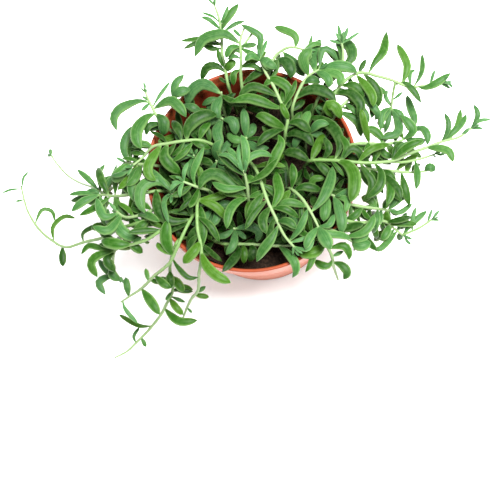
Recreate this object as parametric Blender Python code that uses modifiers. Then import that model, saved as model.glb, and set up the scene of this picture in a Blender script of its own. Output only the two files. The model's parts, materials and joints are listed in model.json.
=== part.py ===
"""A potted string of bananas: trailing succulent stems with banana-shaped leaves in a plastic pot.

Each leafy stem is one object. It stands in a hole in the soil, and its leaves are fused to it.
A place on the plant is read from above as (u, v), in millimetres from the pot's axis on the level
of the rim, as seen from the viewer's eye, and then given a height. All sizes here are millimetres
until the last step, which writes metres.
"""

import math
import random

import bmesh
import bpy
import numpy as np

MM = 0.001

# Viewer
EYE = (48.0, -183.0, 694.0)

# Pot
POT_HEIGHT = 100.0
RIM_RADIUS = 60.0
BASE_RADIUS = 44.5
WALL = 1.2
LIP_HEIGHT = 9.0
LIP_WIDTH = 2.0
LIP_STEP = 2.4
BASE_THICKNESS = 1.6
TURN_STEPS = 30
DRAIN_HOLES = 6
DRAIN_RADIUS = 3.5
DRAIN_CIRCLE = 28.0

# Soil
SOIL_LEVEL = 75.0
GAP = 0.3

# Stems
STEM_RADIUS = 0.95
SHOOT_RADIUS = 0.75
STEM_STEP = 10.0
STEM_DEPTH = 7.5
STEM_RISE = 2.0
STEM_BEVEL = 0
TIP_SHARE = 0.5
HOLE_SIDES = 5

# Leaves
LEAF_THICKNESS = 0.72
NECK_RADIUS = 0.5
GIRTH_POWER = 3.4
GIRTH_FULLNESS = 0.85
LEAF_SIDES = 5
LEAF_RINGS = (0.16, 0.5, 0.84)
SHORT_LEAF_RINGS = (0.28, 0.72)
SHORT_LEAF = 18.0
SMALL_LEAF_SIDES = 4
SMALL_LEAF_WIDTH = 3.8
LEAF_RISE = (-0.3, 0.35)
CLEARANCE = 0.45
SEED = 7

# Each stem: its hole in the soil (x, y), the route of its stem (u, v, height), its side shoots,
# and its leaves (width, then the places that it passes through on the plan, from root to tip)
STEMS = {
    "runner_left": {
        "hole": (-40, -22),
        "route": [
            (-48, -26, 98), (-58, -30, 104), (-67, -33, 98), (-74, -35, 88), (-82, -40, 75),
            (-94, -43, 60), (-104, -46, 46), (-110, -43, 38), (-115, -40, 32), (-122, -33, 24),
            (-128, -23, 17), (-131, -13, 13), (-132, -10, 12),
        ],
        "leaves": [
            (1.6, (-132, -10), (-138, -12), (-143, -14)),
            (1.6, (-132, -10), (-131, -5), (-128, -1)),
            (1.6, (-130, -18), (-135, -19)),
            (2.6, (-122, -32), (-119, -24), (-113, -25), (-111, -31)),
            (3, (-111, -42), (-112, -34), (-106, -28), (-99, -29)),
            (4.6, (-106, -46), (-105, -57)),
            (3, (-94, -43), (-94, -37), (-82, -31)),
        ],
    },
    "cluster_left": {
        "hole": (-42, -10),
        "route": [(-50, -13, 100), (-58, -14, 104), (-67, -15, 100), (-77, -16, 91), (-87, -15, 80)],
        "shoots": [[(-82, -16, 85), (-90, -11, 66), (-98, -8, 44), (-106, -3, 22), (-114, 6, 6), (-116, 9, 5)]],
        "leaves": [
            (3.6, (-86, -12), (-93, -6), (-100, 0)),
            (3, (-86, -16), (-95, -14), (-104, -15)),
            (5, (-86, -17), (-95, -19), (-102, -25)),
            (3, (-85, -13), (-87, -3), (-84, 3)),
            (4.6, (-84, -14), (-81, -8), (-77, -4)),
            (5, (-78, -17), (-74, -26), (-69, -30)),
            (2.4, (-83, -13), (-79, -4), (-77, 3)),
        ],
    },
    "cluster_left_back": {
        "hole": (-44, 2),
        "route": [(-52, 2, 100), (-59, 2, 104), (-66, 3, 102), (-73, 4, 97)],
        "leaves": [
            (7.5, (-70, 2), (-75, -3), (-80, -6)),
            (3.2, (-68, 9), (-66, 3), (-66, -3)),
            (5, (-70, 4), (-73, 10), (-73, 17), (-69, 26)),
            (4.5, (-63, 3), (-66, -6), (-71, -10)),
        ],
    },
    "cluster_left_middle": {
        "hole": (-37, -15),
        "route": [(-46, -20, 97), (-56, -25, 104), (-66, -28, 100), (-74, -28, 95), (-77, -24, 93)],
        "leaves": [
            (5, (-76, -28), (-83, -28), (-88, -17)),
            (6.5, (-76, -26), (-74, -34), (-69, -39), (-61, -41)),
            (5, (-74, -29), (-80, -36), (-89, -34)),
            (5, (-62, -27), (-58, -31), (-53, -32)),
            (3.2, (-68, -28), (-63, -31), (-58, -38)),
        ],
    },
    "cluster_left_front": {
        "hole": (-36, -30),
        "route": [(-46, -36, 98), (-52, -39, 104), (-61, -43, 100), (-70, -45, 92), (-76, -48, 82),
                  (-76, -58, 66), (-72, -64, 56)],
        "leaves": [
            (6.5, (-66, -46), (-75, -44), (-84, -42)),
            (3.6, (-76, -47), (-85, -46), (-91, -45), (-95, -50)),
            (5, (-76, -47), (-86, -51), (-89, -56), (-85, -63)),
            (4, (-72, -64), (-79, -60), (-85, -53)),
            (4.5, (-72, -64), (-77, -62), (-84, -66), (-80, -73)),
            (3.6, (-68, -45), (-60, -49)),
            (2.6, (-66, -44), (-61, -40)),
        ],
    },
    "strand_front_left_long": {
        "hole": (-26, -5),
        "route": [
            (-29, -9, 103), (-30, -17, 110), (-30, -26, 112), (-29, -39, 111), (-27, -46, 109),
            (-27, -54, 105), (-28, -62, 94), (-28, -70, 80), (-31, -74, 70), (-34, -80, 58), (-37, -89, 44),
        ],
        "leaves": [
            (5.5, (-27, -48), (-24, -56), (-18, -62), (-10, -66)),
            (5.5, (-29, -42), (-31, -48), (-37, -55)),
            (4.5, (-28, -47), (-26, -37), (-28, -22)),
            (4.5, (-30, -18), (-20, -17), (-13, -14), (-6, -13)),
            (2.6, (-29, -72), (-24, -68)),
            (3, (-30, -73), (-22, -74)),
            (1.6, (-34, -80), (-31, -83)),
        ],
    },
    "strand_front_left_middle": {
        "hole": (-26, -20),
        "route": [
            (-30, -26, 101), (-33, -29, 106), (-36, -35, 108), (-41, -47, 105), (-44, -54, 99),
            (-49, -59, 90), (-55, -64, 80), (-59, -69, 71), (-64, -72, 63), (-69, -76, 55), (-71, -77, 52),
        ],
        "leaves": [
            (5, (-33, -28), (-35, -20), (-38, -10)),
            (6, (-34, -29), (-41, -31), (-47, -30), (-52, -24), (-54, -12)),
            (6.5, (-43, -51), (-47, -42), (-47, -30)),
            (3, (-43, -52), (-40, -57), (-34, -63), (-28, -63)),
            (2.6, (-56, -65), (-58, -58)),
            (5.5, (-59, -70), (-54, -77), (-49, -84)),
            (4, (-67, -74), (-68, -68), (-69, -63)),
            (2.6, (-70, -77), (-69, -80), (-66, -84), (-61, -89)),
            (3, (-55, -65), (-49, -66)),
            (3.4, (-43, -50), (-50, -46), (-52, -43)),
        ],
    },
    "strand_front_left_low": {
        "hole": (-32, -36),
        "route": [
            (-38, -41, 98), (-41, -44, 103), (-44, -54, 90), (-44, -61, 78), (-42, -68, 67), (-43, -73, 59),
            (-45, -77, 53), (-49, -85, 43), (-57, -95, 31), (-65, -103, 22), (-68, -106, 19), (-73, -108, 17),
        ],
        "leaves": [
            (3.6, (-43, -67), (-50, -63)),
            (5, (-43, -62), (-40, -66), (-36, -71)),
            (3, (-42, -70), (-31, -71)),
            (2.2, (-43, -71), (-46, -76)),
            (2.2, (-43, -74), (-35, -77)),
            (4, (-43, -75), (-40, -80), (-36, -84)),
            (5, (-46, -81), (-41, -86), (-36, -88), (-28, -87)),
            (3, (-53, -91), (-61, -90), (-72, -84)),
            (2.2, (-62, -99), (-63, -96), (-60, -91)),
            (2.6, (-58, -97), (-56, -102)),
        ],
    },
    "rosette_left_inner": {
        "hole": (-19, -12),
        "route": [(-24, -13, 104), (-30, -11, 112), (-37, -8, 116), (-40, -7, 117)],
        "leaves": [
            (2.6, (-39, -7), (-38, -2), (-36, 4)),
            (2.6, (-39, -7), (-43, -9), (-46, -13)),
            (2.4, (-38, -8), (-40, -12), (-40, -17)),
            (4, (-31, -10), (-33, -3), (-30, 6), (-27, 13)),
        ],
    },
    "rosette_left_outer": {
        "hole": (-37, -6),
        "route": [(-42, -11, 103), (-45, -15, 110)],
        "leaves": [
            (4, (-45, -14), (-51, -7), (-59, 1)),
            (2.4, (-45, -14), (-40, -5)),
            (3, (-45, -15), (-49, -20), (-46, -32)),
            (6.5, (-46, -11), (-50, -8), (-56, -7), (-62, -11), (-63, -18), (-60, -26)),
        ],
    },
    "spray_back_left": {
        "hole": (-36, 20),
        "route": [(-45, 22, 99), (-51, 26, 105), (-54, 30, 107), (-56, 37, 108), (-60, 40, 110), (-63, 48, 112)],
        "leaves": [
            (2.2, (-56, 38), (-54, 44), (-48, 53)),
            (5.5, (-60, 40), (-66, 41), (-76, 37), (-80, 31), (-78, 23)),
            (2.2, (-60, 40), (-64, 35)),
            (1.6, (-60, 41), (-64, 44)),
            (6, (-56, 37), (-48, 41), (-42, 37), (-38, 31)),
            (6.5, (-55, 34), (-51, 28), (-51, 20)),
            (7, (-55, 33), (-61, 31), (-66, 24), (-66, 17), (-63, 12)),
            (4, (-53, 26), (-59, 26), (-61, 20)),
        ],
    },
    "tuft_back_left": {
        "hole": (-28, 30),
        "route": [(-38, 36, 99), (-44, 40, 106), (-48, 43, 109)],
        "leaves": [
            (6, (-47, 42), (-43, 46), (-36, 48)),
            (4.5, (-48, 43), (-45, 51), (-40, 57)),
            (5, (-41, 38), (-35, 37), (-29, 33)),
        ],
    },
    "tuft_back": {
        "hole": (-16, 34),
        "route": [(-18, 41, 100), (-18, 46, 109)],
        "leaves": [
            (7, (-18, 45), (-28, 51), (-35, 47), (-38, 38)),
            (6, (-18, 44), (-21, 36), (-19, 30)),
            (4, (-18, 42), (-24, 41), (-29, 38)),
        ],
    },
    "stem_left_upper": {
        "hole": (-17, 9),
        "route": [
            (-22, 14, 105), (-30, 17, 110), (-36, 18, 112), (-40, 16, 112), (-44, 15, 112), (-51, 15, 110),
            (-57, 13, 108), (-60, 10, 106), (-62, 7, 104), (-69, 1, 107),
        ],
        "leaves": [
            (7.5, (-37, 18), (-37, 23), (-33, 29), (-27, 32), (-20, 32)),
            (6.5, (-48, 14), (-50, 8), (-47, 3), (-40, -3)),
            (5.5, (-52, 14), (-57, 6), (-59, 1), (-58, -4), (-54, -7)),
            (5, (-40, 16), (-42, 23), (-46, 29)),
            (4, (-57, 13), (-63, 15), (-69, 13)),
            (3, (-69, 1), (-74, -3), (-80, -4)),
            (4.5, (-30, 17), (-28, 23), (-24, 28)),
        ],
    },
    "stem_left_inner": {
        "hole": (-28, 4),
        "route": [(-31, 6, 98), (-33, 8, 108)],
        "leaves": [
            (4.5, (-33, 8), (-38, 14), (-44, 21)),
            (6, (-33, 8), (-34, 0), (-33, -7)),
            (5.5, (-32, 7), (-26, 11), (-20, 9)),
            (5, (-33, 8), (-41, 7), (-47, 2)),
        ],
    },
    "spray_back_long": {
        "hole": (-11, 42),
        "route": [
            (-14, 50, 105), (-16, 60, 107), (-18, 68, 107), (-18, 74, 107), (-19, 84, 109), (-20, 88, 111),
            (-21, 96, 114), (-24, 102, 117),
        ],
        "leaves": [
            (1.6, (-20, 89), (-24, 93), (-31, 96)),
            (2.6, (-20, 85), (-26, 91), (-31, 93)),
            (4.5, (-19, 84), (-16, 91), (-9, 101)),
            (2.2, (-20, 88), (-17, 94), (-15, 100)),
            (2.6, (-19, 82), (-11, 88), (-5, 90)),
            (3.5, (-18, 73), (-24, 73), (-30, 76)),
            (3, (-19, 76), (-30, 79), (-43, 78)),
            (3, (-19, 75), (-31, 77), (-41, 73)),
            (3, (-16, 60), (-19, 66), (-21, 73)),
            (5, (-16, 58), (-21, 62), (-27, 61), (-30, 53)),
        ],
    },
    "spray_back_middle": {
        "hole": (-5, 38),
        "route": [(-6, 48, 104), (-7, 56, 109), (-7, 64, 114), (-7, 75, 119), (-8, 80, 120), (-5, 87, 121)],
        "shoots": [[(-7, 72, 118), (-2, 80, 118), (1, 85, 119)]],
        "leaves": [
            (6.5, (-8, 75), (-12, 79), (-17, 82), (-24, 81), (-30, 78), (-34, 68)),
            (2, (-8, 80), (-12, 85)),
            (3, (-7, 73), (-2, 70), (3, 68)),
            (4, (-7, 74), (-13, 73), (-16, 67)),
            (3, (-7, 74), (2, 75)),
            (2.6, (-7, 66), (-11, 68), (-15, 66)),
            (4, (-7, 60), (-11, 57), (-11, 50)),
            (3, (-7, 61), (0, 62), (6, 58)),
        ],
    },
    "spray_back_right": {
        "hole": (17, 13),
        "route": [
            (19, 20, 103), (21, 27, 107), (20, 32, 110), (18, 37, 112), (15, 42, 113), (13, 47, 114),
            (10, 54, 115), (6, 60, 116), (3, 68, 118),
        ],
        "leaves": [
            (2.2, (3, 67), (8, 78)),
            (4, (3, 67), (4, 75), (4, 80), (-1, 84), (-8, 88)),
            (4, (4, 65), (-1, 68), (-5, 65)),
            (5, (5, 64), (9, 63), (14, 60)),
            (5, (14, 42), (7, 47), (-1, 49), (-8, 43)),
            (5.5, (20, 36), (21, 46), (17, 51), (11, 53), (6, 49)),
            (6, (18, 35), (12, 37), (5, 40), (-3, 42), (-12, 40)),
            (3.6, (16, 40), (18, 35), (21, 29)),
            (6, (19, 23), (11, 28), (6, 31), (2, 31)),
            (5, (19, 23), (14, 22), (8, 19), (3, 13)),
            (3, (18, 37), (23, 46), (25, 53)),
            (6, (19, 19), (25, 21), (31, 19), (35, 13)),
            (5.5, (21, 26), (27, 27), (34, 21)),
        ],
    },
    "spray_back_short": {
        "hole": (7, 42),
        "route": [(9, 52, 103), (11, 62, 104), (14, 70, 106), (20, 73, 108), (31, 71, 110)],
        "leaves": [
            (4.5, (24, 73), (25, 78), (22, 82), (12, 86)),
            (5, (31, 71), (32, 68), (26, 63)),
            (7, (12, 65), (19, 64), (22, 59), (22, 54)),
            (5.5, (17, 71), (23, 64), (27, 59), (30, 55)),
            (3, (31, 71), (36, 75), (40, 74)),
        ],
    },
    "stem_back_right": {
        "hole": (22, 26),
        "route": [(23, 34, 102), (24, 40, 105), (27, 47, 107), (31, 54, 109), (35, 58, 110), (40, 60, 111)],
        "leaves": [
            (6, (35, 59), (35, 69), (39, 78)),
            (3, (36, 59), (33, 70), (34, 81)),
            (4, (38, 60), (40, 71), (45, 70), (49, 64)),
            (6.5, (38, 59), (48, 61), (55, 60), (60, 57)),
            (6.5, (24, 41), (31, 46), (37, 47), (44, 44), (48, 39)),
            (4, (23, 34), (30, 41)),
        ],
    },
    "spray_far_right_tip": {
        "hole": (31, 31),
        "route": [(38, 42, 102), (44, 50, 105), (50, 58, 107), (52, 66, 110), (51, 77, 114)],
        "leaves": [
            (6.5, (51, 60), (57, 66), (55, 74), (47, 77)),
            (3, (51, 62), (51, 69), (48, 76)),
            (2.2, (51, 77), (49, 87)),
            (2.2, (51, 77), (55, 85)),
            (1.8, (51, 76), (62, 82)),
            (1.8, (51, 76), (44, 77)),
        ],
    },
    "stem_right_back_long": {
        "hole": (36, 24),
        "route": [
            (41, 34, 100), (46, 43, 106), (50, 48, 107), (53, 52, 107), (58, 55, 107), (63, 57, 107),
            (70, 55, 106), (77, 53, 105), (85, 50, 104), (92, 47, 104), (100, 49, 105), (108, 51, 107),
        ],
        "shoots": [[(82, 51, 104), (80, 43, 98), (80, 38, 94), (79, 33, 91)]],
        "leaves": [
            (5, (66, 57), (70, 63), (75, 70), (77, 82)),
            (3, (60, 56), (65, 65)),
            (4.5, (86, 51), (88, 57), (88, 63), (83, 74)),
            (3, (92, 48), (95, 53), (97, 59), (97, 68)),
            (4.5, (94, 48), (98, 47), (105, 50), (113, 56)),
            (1.8, (101, 50), (104, 58)),
            (1.8, (107, 50), (111, 50), (114, 47)),
            (4, (82, 50), (87, 50), (92, 45), (96, 38)),
            (5, (63, 56), (69, 50), (72, 43), (71, 35)),
            (5, (51, 49), (58, 49), (62, 45), (62, 40)),
            (6, (48, 44), (54, 45), (58, 43), (62, 37), (60, 30)),
            (2.4, (90, 49), (90, 56), (93, 58)),
            (1.8, (80, 40), (86, 45)),
            (2.4, (79, 36), (76, 42), (77, 46)),
            (4.5, (79, 34), (84, 31), (83, 24)),
            (5, (79, 33), (83, 26), (82, 20), (73, 17)),
            (3.6, (80, 36), (74, 32), (73, 22)),
        ],
    },
    "stem_right_back_short": {
        "hole": (41, 15),
        "route": [(45, 27, 97), (50, 34, 101), (56, 41, 103), (63, 46, 103)],
        "leaves": [
            (5, (62, 45), (67, 42), (69, 36), (68, 29)),
            (6, (46, 30), (43, 36), (47, 37), (51, 29)),
            (5.5, (49, 33), (57, 30), (61, 26), (62, 18)),
            (4, (63, 46), (70, 47), (77, 44)),
            (4.5, (56, 41), (52, 45), (45, 45)),
        ],
    },
    "stem_right_low_back": {
        "hole": (44, 6),
        "route": [(54, 12, 101), (62, 14, 103), (70, 14, 100), (78, 14, 97), (85, 16, 94), (92, 22, 92)],
        "leaves": [
            (5.5, (85, 16), (91, 21), (88, 27), (84, 31)),
            (4.5, (91, 21), (96, 23), (99, 19), (99, 13)),
            (5, (87, 17), (92, 15), (98, 16)),
            (4, (79, 14), (84, 13), (88, 13)),
            (4.5, (90, 20), (92, 28), (90, 35), (88, 43)),
            (5, (74, 13), (73, 18), (69, 22), (64, 23)),
            (4, (72, 14), (75, 8), (80, 6)),
        ],
    },
    "spray_right_long": {
        "hole": (27, 4),
        "route": [
            (33, 4, 103), (39, 4, 107), (46, 5, 109), (52, 4, 110), (58, 3, 110), (67, 3, 109), (74, 3, 108),
            (78, 3, 107), (84, 6, 106), (91, 9, 106), (97, 11, 105), (107, 15, 105), (115, 17, 106),
            (119, 19, 107), (125, 24, 109),
        ],
        "shoots": [[(76, 3, 107), (84, 3, 103), (90, 4, 101), (95, 5, 100), (104, 8, 99)]],
        "leaves": [
            (3, (107, 15), (110, 20), (111, 26), (109, 32)),
            (4, (108, 15), (114, 21), (119, 27), (121, 31)),
            (3, (112, 16), (116, 25), (118, 34)),
            (3, (125, 24), (127, 29), (127, 33), (125, 37)),
            (2.2, (125, 24), (128, 27), (135, 28)),
            (2.2, (117, 18), (123, 23)),
            (4.5, (98, 11), (106, 11), (111, 9), (113, 3)),
            (4, (92, 4), (93, -2), (93, -9), (92, -13)),
            (7, (48, 4), (54, 2), (58, -4), (58, -12), (56, -20)),
            (4.5, (61, 2), (65, -3), (68, -8), (67, -15), (63, -20)),
            (5, (69, 3), (73, -3), (72, -11), (65, -18)),
            (5.5, (33, 4), (25, 9), (18, 9)),
            (5, (34, 4), (38, 14), (41, 20)),
            (6.5, (47, 5), (50, 12), (49, 19), (45, 25), (38, 29), (32, 30)),
            (4.5, (51, 5), (56, 11), (61, 9), (62, 3)),
            (4, (50, 5), (54, 12), (50, 20)),
            (4, (40, 4), (44, 11), (41, 18)),
            (2.6, (82, 5), (84, 12), (90, 15)),
        ],
    },
    "stem_right_thin": {
        "hole": (38, -6),
        "route": [(48, -2, 98), (56, 0, 103), (67, -1, 101), (79, -2, 97), (91, -3, 96), (99, -2, 97)],
        "leaves": [
            (5, (97, -2), (100, 0), (103, -2)),
            (5, (71, -1), (76, -6), (80, -10), (83, -14), (84, -19)),
            (5, (73, -2), (78, -9), (78, -16), (76, -22)),
            (5.5, (67, -1), (72, -8), (69, -15)),
        ],
    },
    "cluster_right": {
        "hole": (40, -17),
        "route": [(49, -20, 98), (57, -22, 104), (65, -23, 101), (72, -24, 96), (78, -25, 90)],
        "leaves": [
            (2.8, (77, -25), (83, -26), (90, -21)),
            (3, (77, -25), (80, -20), (82, -15)),
            (4.5, (70, -24), (67, -19), (62, -17)),
            (4.5, (73, -24), (71, -31), (66, -35)),
            (3, (78, -25), (84, -18), (88, -17)),
        ],
    },
    "cluster_right_front": {
        "hole": (39, -25),
        "route": [(48, -30, 98), (55, -32, 104), (63, -32, 100), (71, -31, 94), (78, -32, 86), (81, -37, 82),
                  (83, -41, 80), (86, -40, 80)],
        "shoots": [[(86, -40, 80), (90, -37, 80), (95, -34, 81), (100, -31, 83), (102, -29, 84)]],
        "leaves": [
            (3.6, (86, -40), (89, -33), (98, -25)),
            (2.4, (90, -37), (90, -30), (92, -23)),
            (3.6, (81, -38), (73, -46), (68, -47)),
            (3, (80, -36), (76, -40), (72, -42)),
            (1.6, (98, -32), (101, -24)),
            (3, (82, -36), (84, -31), (87, -26)),
            (5, (67, -31), (61, -34), (54, -36)),
        ],
    },
    "cluster_right_inner": {
        "hole": (35, -33),
        "route": [(44, -37, 98), (50, -39, 104), (56, -42, 100), (60, -45, 95)],
        "leaves": [
            (4.5, (53, -40), (62, -38), (67, -33), (69, -27)),
            (5, (56, -42), (60, -41), (66, -39)),
            (6, (56, -43), (61, -45), (67, -43)),
        ],
    },
    "rosette_middle": {
        "hole": (0, -22),
        "route": [(-1, -19, 108), (-2, -10, 120), (-4, -1, 128)],
        "leaves": [
            (4.5, (-4, -1), (-3, 8), (-4, 15), (-6, 20)),
            (2.4, (-4, -1), (-7, 6), (-7, 15)),
            (4, (-4, -1), (-7, 3), (-11, 9), (-14, 13)),
            (3, (-4, -2), (-10, 5), (-14, 8), (-19, 8)),
            (4, (-4, -1), (-3, 3), (0, 7), (6, 9), (12, 7)),
            (5, (-1, -17), (-8, -20), (-12, -26), (-13, -35)),
            (6, (-1, -19), (0, -25), (0, -32)),
            (4, (-1, -17), (6, -15), (12, -15)),
            (7, (-1, -17), (-9, -11), (-16, -5), (-22, -3), (-27, -6), (-29, -12)),
            (4, (-1, -19), (-8, -15), (-15, -15)),
        ],
    },
    "stem_front_diagonal": {
        "hole": (-2, 6),
        "route": [
            (0, 3, 106), (5, -5, 115), (7, -12, 118), (10, -20, 119), (13, -26, 118), (18, -37, 114),
            (23, -44, 110), (26, -47, 109),
        ],
        "leaves": [
            (5.5, (6, -7), (11, 1), (14, 8), (17, 15), (15, 20)),
            (4, (5, -9), (1, -7), (-2, -4)),
            (5.5, (12, -24), (16, -15), (15, -8), (14, -2)),
            (5.5, (16, -33), (12, -41), (7, -48), (4, -54)),
            (4, (22, -42), (27, -36), (30, -30), (32, -24)),
            (2.4, (26, -47), (32, -47), (36, -41)),
            (2.4, (23, -43), (30, -41), (36, -40)),
            (5, (11, -22), (7, -30), (9, -38)),
            (4.5, (16, -30), (21, -31), (26, -35)),
        ],
    },
    "stem_front_right": {
        "hole": (17, -9),
        "route": [(22, -12, 105), (29, -18, 112), (33, -24, 114), (36, -30, 114), (39, -36, 113)],
        "leaves": [
            (4.5, (23, -12), (24, -4), (23, 3)),
            (5, (25, -13), (30, -11), (40, -13)),
            (4.5, (33, -22), (22, -20), (15, -22)),
            (6, (35, -25), (39, -20), (42, -15), (45, -7), (46, 1)),
            (4, (38, -36), (44, -38), (51, -39), (56, -41)),
            (7, (37, -37), (43, -43), (45, -47)),
            (4.5, (38, -36), (33, -41), (31, -47)),
            (3.6, (39, -36), (44, -33), (47, -27)),
        ],
    },
    "stem_right_inner": {
        "hole": (29, -14),
        "route": [(36, -14, 100), (43, -15, 106), (49, -17, 108)],
        "leaves": [
            (4, (34, -14), (35, -7), (42, -6)),
            (6, (46, -16), (49, -22), (51, -30), (51, -38)),
            (3.6, (49, -17), (54, -19), (53, -26)),
            (6, (42, -15), (42, -23), (41, -31)),
            (4.5, (49, -17), (56, -14), (61, -16)),
        ],
    },
    "strand_front_right": {
        "hole": (30, -38),
        "route": [(38, -42, 98), (42, -44, 103), (45, -49, 100), (46, -54, 90), (47, -58, 80), (49, -64, 70)],
        "leaves": [
            (5, (46, -54), (51, -56), (54, -60), (52, -64)),
            (4.5, (46, -53), (44, -56), (40, -56), (36, -53)),
            (4.5, (44, -46), (52, -45), (55, -49), (55, -53)),
            (3.6, (38, -43), (34, -55), (31, -60)),
            (2.4, (46, -51), (52, -48)),
            (6, (41, -45), (35, -49), (27, -49)),
        ],
    },
    "stem_along_front": {
        "hole": (-26, -36),
        "route": [(-20, -42, 88), (-14, -44, 91), (-6, -44, 93), (1, -44, 94), (11, -45, 94), (19, -45, 95),
                  (25, -45, 96)],
        "leaves": [
            (5, (-7, -44), (-6, -48), (-9, -53), (-15, -60)),
            (3, (-14, -45), (-11, -51)),
            (5, (0, -44), (2, -48), (0, -54)),
            (4, (-4, -44), (-3, -49), (-3, -55)),
            (5, (16, -45), (21, -49), (25, -54), (26, -59), (24, -63)),
            (3.6, (-20, -42), (-24, -46), (-29, -48)),
            (5, (9, -45), (12, -39), (19, -35)),
        ],
    },
    "tuft_inner_back": {
        "hole": (-16, 24),
        "route": [(-17, 28, 96), (-17, 30, 104)],
        "leaves": [
            (6, (-17, 29), (-20, 22), (-17, 13)),
            (5.5, (-18, 31), (-17, 39), (-14, 47), (-12, 54)),
            (6, (-17, 30), (-11, 28), (-9, 20)),
            (5, (-17, 30), (-23, 35), (-25, 42)),
            (4.5, (-17, 29), (-26, 27), (-31, 21)),
        ],
    },
    "tuft_inner_middle": {
        "hole": (-5, 14),
        "route": [(-4, 17, 95), (-3, 18, 104)],
        "leaves": [
            (5, (-3, 18), (-4, 28), (-5, 36)),
            (4.5, (-3, 18), (0, 22), (1, 27)),
            (5, (-3, 17), (-9, 17), (-14, 21)),
            (5, (-3, 17), (3, 12), (10, 12)),
        ],
    },
    "tuft_inner_left": {
        "hole": (-16, 0),
        "route": [(-19, 3, 95), (-20, 5, 101)],
        "leaves": [
            (5.5, (-20, 5), (-20, 12), (-17, 17)),
            (4, (-20, 5), (-16, 4), (-12, 4)),
            (5, (-20, 4), (-24, -4), (-23, -12)),
            (5, (-19, 3), (-14, -4), (-12, -10)),
        ],
    },
    "tuft_inner_front": {
        "hole": (-16, -28),
        "route": [(-19, -25, 97), (-22, -23, 104)],
        "leaves": [
            (4.5, (-22, -23), (-19, -25), (-19, -30), (-23, -34)),
            (5, (-21, -23), (-14, -21), (-8, -24)),
            (5, (-22, -23), (-27, -30), (-33, -33)),
            (4.5, (-20, -24), (-22, -33), (-20, -40)),
        ],
    },
    "tuft_front": {
        "hole": (-6, -34),
        "route": [(-8, -35, 94), (-9, -35, 101)],
        "leaves": [
            (5, (-9, -35), (0, -34), (5, -37), (4, -43)),
            (3, (-8, -35), (-2, -41)),
            (3.6, (-9, -35), (-14, -39), (-19, -40)),
            (4.5, (-8, -35), (-9, -44), (-13, -50)),
        ],
    },
    "tuft_inner_right": {
        "hole": (16, -24),
        "route": [(19, -24, 96), (22, -26, 103)],
        "leaves": [
            (5, (22, -26), (26, -32), (26, -39)),
            (5, (21, -26), (14, -30), (9, -30)),
            (5, (22, -26), (28, -27), (33, -31)),
            (4.5, (20, -25), (22, -18), (27, -15)),
        ],
    },
    "tuft_back_right": {
        "hole": (30, 16),
        "route": [(31, 18, 95), (33, 21, 103)],
        "leaves": [
            (5, (33, 21), (38, 26), (44, 26)),
            (5, (32, 20), (30, 27), (33, 34)),
            (4.5, (33, 21), (39, 19), (43, 13)),
            (4.5, (32, 20), (26, 17), (24, 11)),
        ],
    },
}


def place(u, v, z):
    """The point at height z that hides behind (u, v) on the level of the rim."""
    share = (EYE[2] - z) / (EYE[2] - POT_HEIGHT)
    return np.array((EYE[0] + (u - EYE[0]) * share, EYE[1] + (v - EYE[1]) * share, z))


def plan_of(point):
    """Where a point is seen on the level of the rim."""
    share = (EYE[2] - point[2]) / (EYE[2] - POT_HEIGHT)
    return np.array((EYE[0] + (point[0] - EYE[0]) / share, EYE[1] + (point[1] - EYE[1]) / share))


def curve_through(points, per_span=12):
    """A dense smooth curve through the points."""
    points = np.asarray(points, float)
    ends = [2 * points[0] - points[1], *points, 2 * points[-1] - points[-2]]
    t = np.linspace(0, 1, per_span, endpoint=False)[:, None]
    spans = []
    for a, b, c, d in zip(ends, ends[1:], ends[2:], ends[3:]):
        spans.append(0.5 * (2 * b + (c - a) * t + (2 * a - 5 * b + 4 * c - d) * t**2
                            + (3 * b - a - 3 * c + d) * t**3))
    return np.vstack([*spans, points[-1:]])


def lengths_along(points):
    steps = np.linalg.norm(np.diff(points, axis=0), axis=1)
    return np.concatenate([[0], np.cumsum(steps)])


def at_lengths(points, wanted):
    along = lengths_along(points)
    return np.stack([np.interp(wanted, along, points[:, axis]) for axis in range(points.shape[1])], axis=1)


def evenly(points, spacing):
    """The line again, with points about this far apart."""
    whole = lengths_along(points)[-1]
    return at_lengths(points, np.linspace(0, whole, max(2, round(whole / spacing) + 1)))


def segment_distance(rho, z, start, end):
    """Distance in the radial plane from points to a segment."""
    step = np.subtract(end, start)
    share = ((rho - start[0]) * step[0] + (z - start[1]) * step[1]) / (step @ step)
    share = np.clip(share, 0, 1)
    return np.hypot(rho - start[0] - share * step[0], z - start[1] - share * step[1])


def room_round(points):
    """How far points lie from the pot, the soil and the table."""
    rho = np.hypot(points[:, 0], points[:, 1])
    z = points[:, 2]
    lip = RIM_RADIUS - LIP_WIDTH / 2
    lip_room = segment_distance(rho, z, (lip, POT_HEIGHT - LIP_WIDTH / 2), (lip, POT_HEIGHT - LIP_HEIGHT))
    wall_top = (RIM_RADIUS - LIP_STEP - WALL / 2, POT_HEIGHT - LIP_HEIGHT)
    wall_room = segment_distance(rho, z, wall_top, (BASE_RADIUS - WALL / 2, 0))
    inside = rho < RIM_RADIUS - LIP_STEP
    below = np.where(inside & (z > SOIL_LEVEL - 3), z - SOIL_LEVEL, z)
    return np.minimum(np.minimum(lip_room - LIP_WIDTH / 2, wall_room - WALL / 2), below)


class Taken:
    """The space that the finished stems and leaves fill, as small beads of three half sizes."""

    def __init__(self):
        self.places = np.empty((0, 3))
        self.axes = np.empty((0, 3, 3))
        self.owners = np.empty(0, int)

    def add(self, beads, owner):
        places, axes = beads
        self.places = np.vstack([self.places, places])
        self.axes = np.vstack([self.axes, axes])
        self.owners = np.concatenate([self.owners, np.full(len(places), owner)])

    def others(self, owner, low, high):
        near = (self.owners != owner) & (self.places > low).all(axis=1) & (self.places < high).all(axis=1)
        return self.places[near], self.axes[near]


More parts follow.
